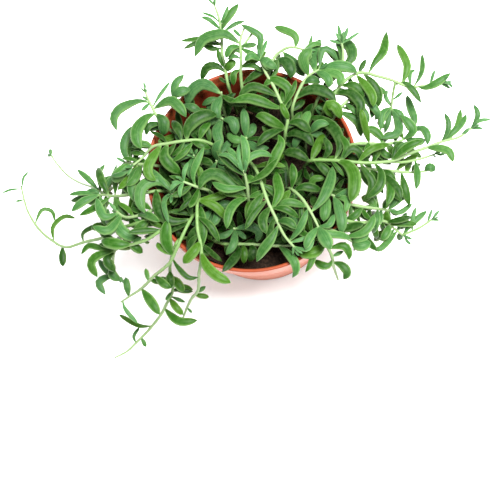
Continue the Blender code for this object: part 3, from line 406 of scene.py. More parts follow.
            (7, (12, 65), (19, 64), (22, 59), (22, 54)),
            (5.5, (17, 71), (23, 64), (27, 59), (30, 55)),
            (3, (31, 71), (36, 75), (40, 74)),
        ],
    },
    "stem_back_right": {
        "hole": (22, 26),
        "route": [(23, 34, 102), (24, 40, 105), (27, 47, 107), (31, 54, 109), (35, 58, 110), (40, 60, 111)],
        "leaves": [
            (6, (35, 59), (35, 69), (39, 78)),
            (3, (36, 59), (33, 70), (34, 81)),
            (4, (38, 60), (40, 71), (45, 70), (49, 64)),
            (6.5, (38, 59), (48, 61), (55, 60), (60, 57)),
            (6.5, (24, 41), (31, 46), (37, 47), (44, 44), (48, 39)),
            (4, (23, 34), (30, 41)),
        ],
    },
    "spray_far_right_tip": {
        "hole": (31, 31),
        "route": [(38, 42, 102), (44, 50, 105), (50, 58, 107), (52, 66, 110), (51, 77, 114)],
        "leaves": [
            (6.5, (51, 60), (57, 66), (55, 74), (47, 77)),
            (3, (51, 62), (51, 69), (48, 76)),
            (2.2, (51, 77), (49, 87)),
            (2.2, (51, 77), (55, 85)),
            (1.8, (51, 76), (62, 82)),
            (1.8, (51, 76), (44, 77)),
        ],
    },
    "stem_right_back_long": {
        "hole": (36, 24),
        "route": [
            (41, 34, 100), (46, 43, 106), (50, 48, 107), (53, 52, 107), (58, 55, 107), (63, 57, 107),
            (70, 55, 106), (77, 53, 105), (85, 50, 104), (92, 47, 104), (100, 49, 105), (108, 51, 107),
        ],
        "shoots": [[(82, 51, 104), (80, 43, 98), (80, 38, 94), (79, 33, 91)]],
        "leaves": [
            (5, (66, 57), (70, 63), (75, 70), (77, 82)),
            (3, (60, 56), (65, 65)),
            (4.5, (86, 51), (88, 57), (88, 63), (83, 74)),
            (3, (92, 48), (95, 53), (97, 59), (97, 68)),
            (4.5, (94, 48), (98, 47), (105, 50), (113, 56)),
            (1.8, (101, 50), (104, 58)),
            (1.8, (107, 50), (111, 50), (114, 47)),
            (4, (82, 50), (87, 50), (92, 45), (96, 38)),
            (5, (63, 56), (69, 50), (72, 43), (71, 35)),
            (5, (51, 49), (58, 49), (62, 45), (62, 40)),
            (6, (48, 44), (54, 45), (58, 43), (62, 37), (60, 30)),
            (2.4, (90, 49), (90, 56), (93, 58)),
            (1.8, (80, 40), (86, 45)),
            (2.4, (79, 36), (76, 42), (77, 46)),
            (4.5, (79, 34), (84, 31), (83, 24)),
            (5, (79, 33), (83, 26), (82, 20), (73, 17)),
            (3.6, (80, 36), (74, 32), (73, 22)),
        ],
    },
    "stem_right_back_short": {
        "hole": (41, 15),
        "route": [(45, 27, 97), (50, 34, 101), (56, 41, 103), (63, 46, 103)],
        "leaves": [
            (5, (62, 45), (67, 42), (69, 36), (68, 29)),
            (6, (46, 30), (43, 36), (47, 37), (51, 29)),
            (5.5, (49, 33), (57, 30), (61, 26), (62, 18)),
            (4, (63, 46), (70, 47), (77, 44)),
            (4.5, (56, 41), (52, 45), (45, 45)),
        ],
    },
    "stem_right_low_back": {
        "hole": (44, 6),
        "route": [(54, 12, 101), (62, 14, 103), (70, 14, 100), (78, 14, 97), (85, 16, 94), (92, 22, 92)],
        "leaves": [
            (5.5, (85, 16), (91, 21), (88, 27), (84, 31)),
            (4.5, (91, 21), (96, 23), (99, 19), (99, 13)),
            (5, (87, 17), (92, 15), (98, 16)),
            (4, (79, 14), (84, 13), (88, 13)),
            (4.5, (90, 20), (92, 28), (90, 35), (88, 43)),
            (5, (74, 13), (73, 18), (69, 22), (64, 23)),
            (4, (72, 14), (75, 8), (80, 6)),
        ],
    },
    "spray_right_long": {
        "hole": (27, 4),
        "route": [
            (33, 4, 103), (39, 4, 107), (46, 5, 109), (52, 4, 110), (58, 3, 110), (67, 3, 109),
            (74, 3, 108), (78, 3, 107), (84, 6, 106), (91, 9, 106), (97, 11, 105), (107, 15, 105),
            (115, 17, 106), (119, 19, 107), (125, 24, 109),
        ],
        "shoots": [[(76, 3, 107), (84, 3, 103), (90, 4, 101), (95, 5, 100), (104, 8, 99)]],
        "leaves": [
            (3, (107, 15), (110, 20), (111, 26), (109, 32)),
            (4, (108, 15), (114, 21), (119, 27), (121, 31)),
            (3, (112, 16), (116, 25), (118, 34)),
            (3, (125, 24), (127, 29), (127, 33), (125, 37)),
            (2.2, (125, 24), (128, 27), (135, 28)),
            (2.2, (117, 18), (123, 23)),
            (4.5, (98, 11), (106, 11), (111, 9), (113, 3)),
            (4, (92, 4), (93, -2), (93, -9), (92, -13)),
            (7, (48, 4), (54, 2), (58, -4), (58, -12), (56, -20)),
            (4.5, (61, 2), (65, -3), (68, -8), (67, -15), (63, -20)),
            (5, (69, 3), (73, -3), (72, -11), (65, -18)),
            (5.5, (33, 4), (25, 9), (18, 9)),
            (5, (34, 4), (38, 14), (41, 20)),
            (6.5, (47, 5), (50, 12), (49, 19), (45, 25), (38, 29), (32, 30)),
            (4.5, (51, 5), (56, 11), (61, 9), (62, 3)),
            (4, (50, 5), (54, 12), (50, 20)),
            (4, (40, 4), (44, 11), (41, 18)),
            (2.6, (82, 5), (84, 12), (90, 15)),
        ],
    },
    "stem_right_thin": {
        "hole": (38, -6),
        "route": [(48, -2, 98), (56, 0, 103), (67, -1, 101), (79, -2, 97), (91, -3, 96), (99, -2, 97)],
        "leaves": [
            (5, (97, -2), (100, 0), (103, -2)),
            (5, (71, -1), (76, -6), (80, -10), (83, -14), (84, -19)),
            (5, (73, -2), (78, -9), (78, -16), (76, -22)),
            (5.5, (67, -1), (72, -8), (69, -15)),
        ],
    },
    "cluster_right": {
        "hole": (40, -17),
        "route": [(49, -20, 98), (57, -22, 104), (65, -23, 101), (72, -24, 96), (78, -25, 90)],
        "leaves": [
            (2.8, (77, -25), (83, -26), (90, -21)),
            (3, (77, -25), (80, -20), (82, -15)),
            (4.5, (70, -24), (67, -19), (62, -17)),
            (4.5, (73, -24), (71, -31), (66, -35)),
            (3, (78, -25), (84, -18), (88, -17)),
        ],
    },
    "cluster_right_front": {
        "hole": (39, -25),
        "route": [
            (48, -30, 98), (55, -32, 104), (63, -32, 100), (71, -31, 94), (78, -32, 86), (81, -37, 82),
            (83, -41, 80), (86, -40, 80),
        ],
        "shoots": [[(86, -40, 80), (90, -37, 80), (95, -34, 81), (100, -31, 83), (102, -29, 84)]],
        "leaves": [
            (3.6, (86, -40), (89, -33), (98, -25)),
            (2.4, (90, -37), (90, -30), (92, -23)),
            (3.6, (81, -38), (73, -46), (68, -47)),
            (3, (80, -36), (76, -40), (72, -42)),
            (1.6, (98, -32), (101, -24)),
            (3, (82, -36), (84, -31), (87, -26)),
            (5, (67, -31), (61, -34), (54, -36)),
        ],
    },
    "cluster_right_inner": {
        "hole": (35, -33),
        "route": [(44, -37, 98), (50, -39, 104), (56, -42, 100), (60, -45, 95)],
        "leaves": [
            (4.5, (53, -40), (62, -38), (67, -33), (69, -27)),
            (5, (56, -42), (60, -41), (66, -39)),
            (6, (56, -43), (61, -45), (67, -43)),
        ],
    },
    "rosette_middle": {
        "hole": (0, -22),
        "route": [(-1, -19, 108), (-2, -10, 120), (-4, -1, 128)],
        "leaves": [
            (4.5, (-4, -1), (-3, 8), (-4, 15), (-6, 20)),
            (2.4, (-4, -1), (-7, 6), (-7, 15)),
            (4, (-4, -1), (-7, 3), (-11, 9), (-14, 13)),
            (3, (-4, -2), (-10, 5), (-14, 8), (-19, 8)),
            (4, (-4, -1), (-3, 3), (0, 7), (6, 9), (12, 7)),
            (5, (-1, -17), (-8, -20), (-12, -26), (-13, -35)),
            (6, (-1, -19), (0, -25), (0, -32)),
            (4, (-1, -17), (6, -15), (12, -15)),
            (7, (-1, -17), (-9, -11), (-16, -5), (-22, -3), (-27, -6), (-29, -12)),
            (4, (-1, -19), (-8, -15), (-15, -15)),
        ],
    },
    "stem_front_diagonal": {
        "hole": (-2, 6),
        "route": [
            (0, 3, 106), (5, -5, 115), (7, -12, 118), (10, -20, 119), (13, -26, 118), (18, -37, 114),
            (23, -44, 110), (26, -47, 109),
        ],
        "leaves": [
            (5.5, (6, -7), (11, 1), (14, 8), (17, 15), (15, 20)),
            (4, (5, -9), (1, -7), (-2, -4)),
            (5.5, (12, -24), (16, -15), (15, -8), (14, -2)),
            (5.5, (16, -33), (12, -41), (7, -48), (4, -54)),
            (4, (22, -42), (27, -36), (30, -30), (32, -24)),
            (2.4, (26, -47), (32, -47), (36, -41)),
            (2.4, (23, -43), (30, -41), (36, -40)),
            (5, (11, -22), (7, -30), (9, -38)),
            (4.5, (16, -30), (21, -31), (26, -35)),
        ],
    },
    "stem_front_right": {
        "hole": (17, -9),
        "route": [(22, -12, 105), (29, -18, 112), (33, -24, 114), (36, -30, 114), (39, -36, 113)],
        "leaves": [
            (4.5, (23, -12), (24, -4), (23, 3)),
            (5, (25, -13), (30, -11), (40, -13)),
            (4.5, (33, -22), (22, -20), (15, -22)),
            (6, (35, -25), (39, -20), (42, -15), (45, -7), (46, 1)),
            (4, (38, -36), (44, -38), (51, -39), (56, -41)),
            (7, (37, -37), (43, -43), (45, -47)),
            (4.5, (38, -36), (33, -41), (31, -47)),
            (3.6, (39, -36), (44, -33), (47, -27)),
        ],
    },
    "stem_right_inner": {
        "hole": (29, -14),
        "route": [(36, -14, 100), (43, -15, 106), (49, -17, 108)],
        "leaves": [
            (4, (34, -14), (35, -7), (42, -6)),
            (6, (46, -16), (49, -22), (51, -30), (51, -38)),
            (3.6, (49, -17), (54, -19), (53, -26)),
            (6, (42, -15), (42, -23), (41, -31)),
            (4.5, (49, -17), (56, -14), (61, -16)),
        ],
    },
    "strand_front_right": {
        "hole": (30, -38),
        "route": [
            (38, -42, 98), (42, -44, 103), (45, -49, 100), (46, -54, 90), (47, -58, 80), (49, -64, 70),
        ],
        "leaves": [
            (5, (46, -54), (51, -56), (54, -60), (52, -64)),
            (4.5, (46, -53), (44, -56), (40, -56), (36, -53)),
            (4.5, (44, -46), (52, -45), (55, -49), (55, -53)),
            (3.6, (38, -43), (34, -55), (31, -60)),
            (2.4, (46, -51), (52, -48)),
            (6, (41, -45), (35, -49), (27, -49)),
        ],
    },
    "stem_along_front": {
        "hole": (-26, -36),
        "route": [(-20, -42, 88), (-14, -44, 91), (-6, -44, 93), (1, -44, 94), (11, -45, 94), (19, -45, 95),
                  (25, -45, 96)],
        "leaves": [
            (5, (-7, -44), (-6, -48), (-9, -53), (-15, -60)),
            (3, (-14, -45), (-11, -51)),
            (5, (0, -44), (2, -48), (0, -54)),
            (4, (-4, -44), (-3, -49), (-3, -55)),
            (5, (16, -45), (21, -49), (25, -54), (26, -59), (24, -63)),
            (3.6, (-20, -42), (-24, -46), (-29, -48)),
            (5, (9, -45), (12, -39), (19, -35)),
        ],
    },
    "tuft_inner_back": {
        "hole": (-16, 24),
        "route": [(-17, 28, 96), (-17, 30, 104)],
        "leaves": [
            (6, (-17, 29), (-20, 22), (-17, 13)),
            (5.5, (-18, 31), (-17, 39), (-14, 47), (-12, 54)),
            (6, (-17, 30), (-11, 28), (-9, 20)),
            (5, (-17, 30), (-23, 35), (-25, 42)),
            (4.5, (-17, 29), (-26, 27), (-31, 21)),
        ],
    },
    "tuft_inner_middle": {
        "hole": (-5, 14),
        "route": [(-4, 17, 95), (-3, 18, 104)],
        "leaves": [
            (5, (-3, 18), (-4, 28), (-5, 36)),
            (4.5, (-3, 18), (0, 22), (1, 27)),
            (5, (-3, 17), (-9, 17), (-14, 21)),
            (5, (-3, 17), (3, 12), (10, 12)),
        ],
    },
    "tuft_inner_left": {
        "hole": (-16, 0),
        "route": [(-19, 3, 95), (-20, 5, 101)],
        "leaves": [
            (5.5, (-20, 5), (-20, 12), (-17, 17)),
            (4, (-20, 5), (-16, 4), (-12, 4)),
            (5, (-20, 4), (-24, -4), (-23, -12)),
            (5, (-19, 3), (-14, -4), (-12, -10)),
        ],
    },
    "tuft_inner_front": {
        "hole": (-16, -28),
        "route": [(-19, -25, 97), (-22, -23, 104)],
        "leaves": [
            (4.5, (-22, -23), (-19, -25), (-19, -30), (-23, -34)),
            (5, (-21, -23), (-14, -21), (-8, -24)),
            (5, (-22, -23), (-27, -30), (-33, -33)),
            (4.5, (-20, -24), (-22, -33), (-20, -40)),
        ],
    },
    "tuft_front": {
        "hole": (-6, -34),
        "route": [(-8, -35, 94), (-9, -35, 101)],
        "leaves": [
            (5, (-9, -35), (0, -34), (5, -37), (4, -43)),
            (3, (-8, -35), (-2, -41)),
            (3.6, (-9, -35), (-14, -39), (-19, -40)),
            (4.5, (-8, -35), (-9, -44), (-13, -50)),
        ],
    },
    "tuft_inner_right": {
        "hole": (16, -24),
        "route": [(19, -24, 96), (22, -26, 103)],
        "leaves": [
            (5, (22, -26), (26, -32), (26, -39)),
            (5, (21, -26), (14, -30), (9, -30)),
            (5, (22, -26), (28, -27), (33, -31)),
            (4.5, (20, -25), (22, -18), (27, -15)),
        ],
    },
    "tuft_back_right": {
        "hole": (30, 16),
        "route": [(31, 18, 95), (33, 21, 103)],
        "leaves": [
            (5, (33, 21), (38, 26), (44, 26)),
            (5, (32, 20), (30, 27), (33, 34)),
            (4.5, (33, 21), (39, 19), (43, 13)),
            (4.5, (32, 20), (26, 17), (24, 11)),
        ],
    },
}
print("stems:", len(STEMS), "leaves:", sum(len(stem["leaves"]) for stem in STEMS.values()))

# %% [markdown]
# ## From the plan to space
#
# A point on the plan slides along its line of sight to its height. A stem is a smooth curve through
# its points, and it is measured along its length, so that tubes and leaves can be placed evenly.

# %% Points, curves and lengths
def place(u, v, z):
    """The point at height z that hides behind (u, v) on the level of the rim."""
    share = (EYE[2] - z) / (EYE[2] - POT_HEIGHT)
    return np.array((EYE[0] + (u - EYE[0]) * share, EYE[1] + (v - EYE[1]) * share, z))


def plan_of(point):
    """Where a point is seen on the level of the rim."""
    share = (EYE[2] - point[2]) / (EYE[2] - POT_HEIGHT)
    return np.array((EYE[0] + (point[0] - EYE[0]) / share, EYE[1] + (point[1] - EYE[1]) / share))


def curve_through(points, per_span=12):
    """A dense smooth curve through the points."""
    points = np.asarray(points, float)
    ends = [2 * points[0] - points[1], *points, 2 * points[-1] - points[-2]]
    t = np.linspace(0, 1, per_span, endpoint=False)[:, None]
    spans = []
    for a, b, c, d in zip(ends, ends[1:], ends[2:], ends[3:]):
        spans.append(0.5 * (2 * b + (c - a) * t + (2 * a - 5 * b + 4 * c - d) * t**2
                            + (3 * b - a - 3 * c + d) * t**3))
    return np.vstack([*spans, points[-1:]])


def lengths_along(points):
    """How far along the line each point lies."""
    steps = np.linalg.norm(np.diff(points, axis=0), axis=1)
    return np.concatenate([[0], np.cumsum(steps)])


def at_lengths(points, wanted):
    """The places on the line at the wanted lengths."""
    along = lengths_along(points)
    return np.stack([np.interp(wanted, along, points[:, axis]) for axis in range(points.shape[1])], axis=1)


def evenly(points, spacing):
    """The line again, with points about this far apart."""
    whole = lengths_along(points)[-1]
    return at_lengths(points, np.linspace(0, whole, max(2, round(whole / spacing) + 1)))


def unit(vectors, spare=0.0):
    """The vectors at length one. A spare bit of length keeps a vector of no length from failing."""
    return vectors / (np.linalg.norm(vectors, axis=-1, keepdims=True) + spare)


def frames_along(points):
    """The directions along, across and up at each point of a line."""
    along = unit(np.gradient(points, axis=0))
    across = unit(np.cross(along, (0, 0, 1.0)), spare=1e-9)
    return along, across, np.cross(across, along)


print("a point 20 mm above the rim moves", np.round(place(60, 0, POT_HEIGHT + 20)[:2] - (60, 0), 1), "mm")

# %% [markdown]
# ## Room round the pot
#
# Stems and leaves may lean on the pot but never pass through it. The pot's mesh could be asked for the
# nearest point, but a round pot is simple: seen in the plane through its axis, its lip and its wall
# are two straight lines with a thickness. So the room to each is the distance to a line.

# %% The room round the pot
HOLE_DEPTH = 3


def segment_distance(rho, z, start, end):
    """Distance in the radial plane from points to a segment."""
    step = np.subtract(end, start)
    share = ((rho - start[0]) * step[0] + (z - start[1]) * step[1]) / (step @ step)
    share = np.clip(share, 0, 1)
    return np.hypot(rho - start[0] - share * step[0], z - start[1] - share * step[1])


def room_round(points):
    """How far points lie from the pot, the soil and the table. A point in a stem's hole is allowed."""
    rho = np.hypot(points[:, 0], points[:, 1])
    z = points[:, 2]
    lip = RIM_RADIUS - LIP_WIDTH / 2
    lip_room = segment_distance(rho, z, (lip, POT_HEIGHT - LIP_WIDTH / 2), (lip, POT_HEIGHT - LIP_HEIGHT))
    wall_top = (RIM_RADIUS - LIP_STEP - WALL / 2, POT_HEIGHT - LIP_HEIGHT)
    wall_room = segment_distance(rho, z, wall_top, (BASE_RADIUS - WALL / 2, 0))
    inside = rho < RIM_RADIUS - LIP_STEP
    below = np.where(inside & (z > SOIL_LEVEL - HOLE_DEPTH), z - SOIL_LEVEL, z)
    return np.minimum(np.minimum(lip_room - LIP_WIDTH / 2, wall_room - WALL / 2), below)


print("the middle of the rim's level is", room_round(np.array([(0, 0, POT_HEIGHT)]))[0], "mm clear")

# %% [markdown]
# ## Room for each leaf
#
# Real leaves push each other aside and never pass through each other. Testing meshes against each
# other is slow, so a stem or a leaf is stood for by a row of small beads, each as wide and as thick as
# the leaf is there. Two beads are clear when they lie further apart than both reach towards each other.

# %% Beads, and the room between them
BEAD_SPACING = 1.2
FAR = 99.0


class Taken:
    """The space that the finished stems and leaves fill, as small beads of three half sizes."""

    def __init__(self):
        self.places = np.empty((0, 3))
        self.axes = np.empty((0, 3, 3))
        self.owners = np.empty(0, int)

    def add(self, beads, owner):
        places, axes = beads
        self.places = np.vstack([self.places, places])
        self.axes = np.vstack([self.axes, axes])
        self.owners = np.concatenate([self.owners, np.full(len(places), owner)])

    def within(self, chosen, low, high):
        near = chosen & (self.places > low).all(axis=1) & (self.places < high).all(axis=1)
        return self.places[near], self.axes[near]

    def others(self, owner, low, high):
        return self.within(self.owners != owner, low, high)

    def owned(self, owner, low, high):
        return self.within(self.owners == owner, low, high)


def reach(axes, direction):
    """How far each bead reaches in a direction."""
    return np.sqrt((np.einsum("...ij,...j->...i", axes, direction) ** 2).sum(axis=-1))


def clear_of(beads, others):
    """The smallest room between two sets of beads, with the indices of the closest pair."""
    places, axes = beads
    if not len(others[0]):
        return FAR, 0, 0
    apart = places[:, None] - others[0][None]
    distance = np.linalg.norm(apart, axis=2) + 1e-9
    direction = apart / distance[..., None]
    room = distance - reach(axes[:, None], direction) - reach(others[1][None], direction)
    first, second = np.unravel_index(room.argmin(), room.shape)
    return room[first, second], first, second


def round_beads(points, radius):
    """The beads of a stem, which is as thick as it is wide."""
    places = evenly(points, BEAD_SPACING)
    return places, np.tile(np.eye(3) * radius, (len(places), 1, 1))


print("a straight 100 mm stem has", len(round_beads(np.array([(0, 0, 0), (0, 0, 100.0)]), 1)[0]), "beads")

# %% [markdown]
# ## Stems that pass each other
#
# On the plan stems cross, and on the plant one passes over the other. A stem could be drawn anew for
# each crossing. Here it starts as the plan gives it, and while it comes too near another stem or the
# pot, the stretch around the closest point is raised or lowered a little, as a real one is pushed.

# %% Stems bent clear of each other
# Sizes of a stem in millimetres, and where its line starts below the soil's level and leans above it
STEM_RADIUS = 0.95
SHOOT_RADIUS = 0.75
STEM_STEP = 10.0
STEM_DEPTH = 7.5
STEM_RISE = 2.0
# The room that pieces keep, and how a stem is pushed: how often, how far, and over what length
CLEARANCE = 0.45
BEND_STEPS = 150
BEND_BY = 0.8
BEND_SPREAD = 11
BEND_MARGIN = 8
# How far up a main stem and its shoots the first leaf can sit, and how far below the tip the last
FIRST_ROOTS = (10, 2, 2)
LAST_ROOT = 2


def bent_clear(points, radius, fixed, taken, owner):
    """Moves a stem up or down where it would touch another stem or the pot."""
    points = points.copy()
    along = lengths_along(points)
    for _ in range(BEND_STEPS):
        beads = round_beads(points, radius)
        low = points.min(axis=0) - BEND_MARGIN
        high = points.max(axis=0) + BEND_MARGIN
        others = taken.others(owner, low, high)
        room, first, second = clear_of(beads, others)
        pot_room = room_round(beads[0]) - radius
        pot_room[beads[0][:, 2] < SOIL_LEVEL + STEM_RISE] = FAR
        if room >= CLEARANCE and pot_room.min() >= CLEARANCE:
            break
        if pot_room.min() < CLEARANCE and pot_room.min() < room:
            first = pot_room.argmin()
            lift = BEND_BY
        else:
            lift = BEND_BY if beads[0][first, 2] >= others[0][second, 2] else -BEND_BY
        where = lengths_along(beads[0])[first] / lengths_along(beads[0])[-1] * along[-1]
        weight = np.exp(-(((along - where) / BEND_SPREAD) ** 2))
        weight[:fixed] = 0
        points[:, 2] += lift * weight
    return points


def stem_points(hole, route):
    """The stem's line, from the bottom of its hole in the soil to its tip."""
    foot = np.array((*hole, SOIL_LEVEL + STEM_RISE), float)
    line = evenly(curve_through([foot, *(place(*point) for point in route)]), STEM_STEP)
    return np.vstack([[foot - (0, 0, STEM_DEPTH + STEM_RISE)], line])


def nearest_on(lines, plan):
    """The point of a node's stems that is seen nearest to a place on the plan, clear of their ends."""
    dense = np.vstack([evenly(line, 1.0)[first:-LAST_ROOT] for line, first in zip(lines, FIRST_ROOTS)])
    seen = np.array([plan_of(point) for point in dense])
    return dense[np.linalg.norm(seen - plan, axis=1).argmin()]


def lay_out_stems():
    """Every node's lines, the main stem first, and the space that they take."""
    taken = Taken()
    lines = {}
    for owner, (name, stem) in enumerate(STEMS.items()):
        main = bent_clear(stem_points(stem["hole"], stem["route"]), STEM_RADIUS, 2, taken, owner)
        lines[name] = [main]
        taken.add(round_beads(main, STEM_RADIUS), owner)
        for shoot in stem.get("shoots", []):
            root = nearest_on([main], np.array(shoot[0][:2]))
            side = evenly(curve_through([root, *(place(*point) for point in shoot[1:])]), STEM_STEP)
            side = bent_clear(side, SHOOT_RADIUS, 1, taken, owner)
            lines[name].append(side)
            taken.add(round_beads(side, SHOOT_RADIUS), owner)
    return lines, taken


stem_lines, taken = lay_out_stems()
print("laid out", sum(len(lines) for lines in stem_lines.values()), "stems and shoots")

# %% [markdown]
# ## A leaf as a line and beads
#
# A leaf of the plan starts on its stem, passes through its places on the plan and ends at its tip. Its
# height could follow the stem. A real leaf rises or droops by itself and is bent like a banana, so its
# line has a rise and an arch that are still free. Its beads follow the plain leaf of the packed model:
# a thin neck, a round belly and a tip, and a little flatter than wide.

# %% The line and the beads of a leaf
LEAF_THICKNESS = 0.72
NECK_RADIUS = 0.5
NECK_SHARE = 0.4
# Where a leaf of the packed model has its rings, and when it is small enough for fewer
LEAF_RINGS = (0.16, 0.5, 0.84)
SHORT_LEAF_RINGS = (0.28, 0.72)
SHORT_LEAF = 18.0
SMALL_LEAF_WIDTH = 3.8
GIRTH_POWER = 3.4
GIRTH_FULLNESS = 0.85
# The share of a leaf that its beads fill, the space between them, and the fewest
LEAF_BEADS = (0.06, 0.97)
LEAF_BEAD_SPACING = 1.5
FEWEST_BEADS = 6


def leaf_line(root, plan, rise, arch):
    """The middle line of a leaf from its root through the places on the plan, rising to its tip."""
    flat = [plan_of(root), *np.asarray(plan[1:], float)]
    share = lengths_along(np.array(flat))
    share = share / share[-1]
    points = [
        place(*spot, root[2] + rise * at + arch * math.sin(math.pi * at)) for spot, at in zip(flat, share)
    ]
    return curve_through([root, *points[1:]])


def girth(share):
    """A leaf's width along its length, as a share of its widest."""
    return (1 - abs(2 * share - 1) ** GIRTH_POWER) ** GIRTH_FULLNESS


def leaf_radii(shares, width):
    """Half the leaf's width at shares of its length, with a neck where it leaves the stem."""
    radii = girth(np.asarray(shares, float)) * width / 2
    radii[0] = min(NECK_RADIUS, NECK_SHARE * width)
    return radii


def knots_of(line, width):
    """Where along its length a leaf gets a ring, with its two ends."""
    short = lengths_along(line)[-1] < SHORT_LEAF or width < SMALL_LEAF_WIDTH
    return np.array((0, *(SHORT_LEAF_RINGS if short else LEAF_RINGS), 1))


def leaf_beads(line, width):
    """Beads along a leaf, as wide and as thick as it is there."""
    whole = lengths_along(line)[-1]
    rings = knots_of(line, width)
    knots = at_lengths(line, rings * whole)
    shares = np.linspace(*LEAF_BEADS, max(FEWEST_BEADS, round(whole / LEAF_BEAD_SPACING)))
    places = at_lengths(knots, shares * lengths_along(knots)[-1])
    radius = np.interp(shares, rings, leaf_radii(rings, width))
    along, across, up = frames_along(places)
    thick = radius * LEAF_THICKNESS
    axes = np.stack([across * radius[:, None], up * thick[:, None], along * thick[:, None]], axis=1)
    return places, axes


print("a straight 20 mm leaf has", len(leaf_beads(np.array([(0, 0, 0), (20.0, 0, 0)]), 5)[0]), "beads")

# %% [markdown]
# ## Leaves that find their room
#
# A leaf's place on the plan is known, but its height is not. It could be set by hand for each leaf.
# Here a leaf starts at its root on the stem and is tried with a small rise and arch first, and then
# higher, lower, straighter or more arched, until its beads are clear of all others. It may also end up
# a little narrower. The few that find no room are left out.

# %% Leaves that find their room
SEED = 7
# The rise that a leaf starts from, as a share of its length, and what is tried on top, in millimetres
LEAF_RISE = (-0.3, 0.35)
RISES = np.arange(-26, 27, 2.0)
ARCHES = (1.5, -2.0, 4.0, -5.0, 7.0)
# The most that rise and arch make together, as a share of the leaf's length and some millimetres
STEEPEST = 0.95
STEEP_SPARE = 3
# A changed arch is liked less than a changed rise
ARCH_WEIGHT = 1.3
# How far round a leaf others are looked for, and the shares of its width that are tried
LEAF_REACH = (14, 14, 54)
NARROWER = (1, 0.85, 0.7, 0.6)


def tries(rng, length):
    """Rises and arches for a leaf, from the most wanted on."""
    wanted = rng.uniform(*LEAF_RISE) * length
    found = []
    for rise in RISES:
        for arch in ARCHES:
            if abs(wanted + rise) + abs(arch) < STEEPEST * length + STEEP_SPARE:
                found.append((abs(rise) + ARCH_WEIGHT * abs(arch - ARCHES[0]), wanted + rise, arch))
    return [(rise, arch) for _, rise, arch in sorted(found)]


def room_to_pot(beads):
    """The smallest room between a leaf's beads and the pot, the soil and the table."""
    return (room_round(beads[0]) - np.linalg.norm(beads[1][:, 1], axis=1)).min()


def leaf_that_fits(root, plan, width, owner, rng):
    """The first line for a leaf that touches nothing, or None."""
    flat = np.vstack([plan_of(root), plan[1:]])
    length = lengths_along(flat)[-1]
    low = np.append(flat.min(axis=0), root[2]) - LEAF_REACH
    high = np.append(flat.max(axis=0), root[2]) + LEAF_REACH
    others = taken.others(owner, low, high)
    for rise, arch in tries(rng, length):
        line = leaf_line(root, plan, rise, arch)
        beads = leaf_beads(line, width)
        if room_to_pot(beads) >= CLEARANCE and clear_of(beads, others)[0] >= CLEARANCE:
            return line, beads
    return None


def planned_leaves(planned, lines, owner, rng):
    """The planned leaves of one node that find room: the line and the width of each."""
    found = []
    for width, *plan in planned:
        plan = np.array(plan, float)
        root = nearest_on(lines, plan[0])
        for share in NARROWER:
            fit = leaf_that_fits(root, plan, width * share, owner, rng)
            if fit:
                line, beads = fit
                taken.add(beads, owner)
                found.append((line, width * share))
                break
    return found


plan_rng = random.Random(SEED)
layout = {
    name: (stem_lines[name], planned_leaves(stem["leaves"], stem_lines[name], owner, plan_rng))
    for owner, (name, stem) in enumerate(STEMS.items())
}
print("placed", sum(len(leaves) for _, leaves in layout.values()), "leaves of the plan")

# %% [markdown]
# ## A second layer of leaves
#
# The packed model holds the leaves that make the plant's outline. The picture shows more of them
# further in, half hidden under the first. They are read from the picture in the same way, and each one
# finds its room by the same rule, so it can't run into a neighbour.

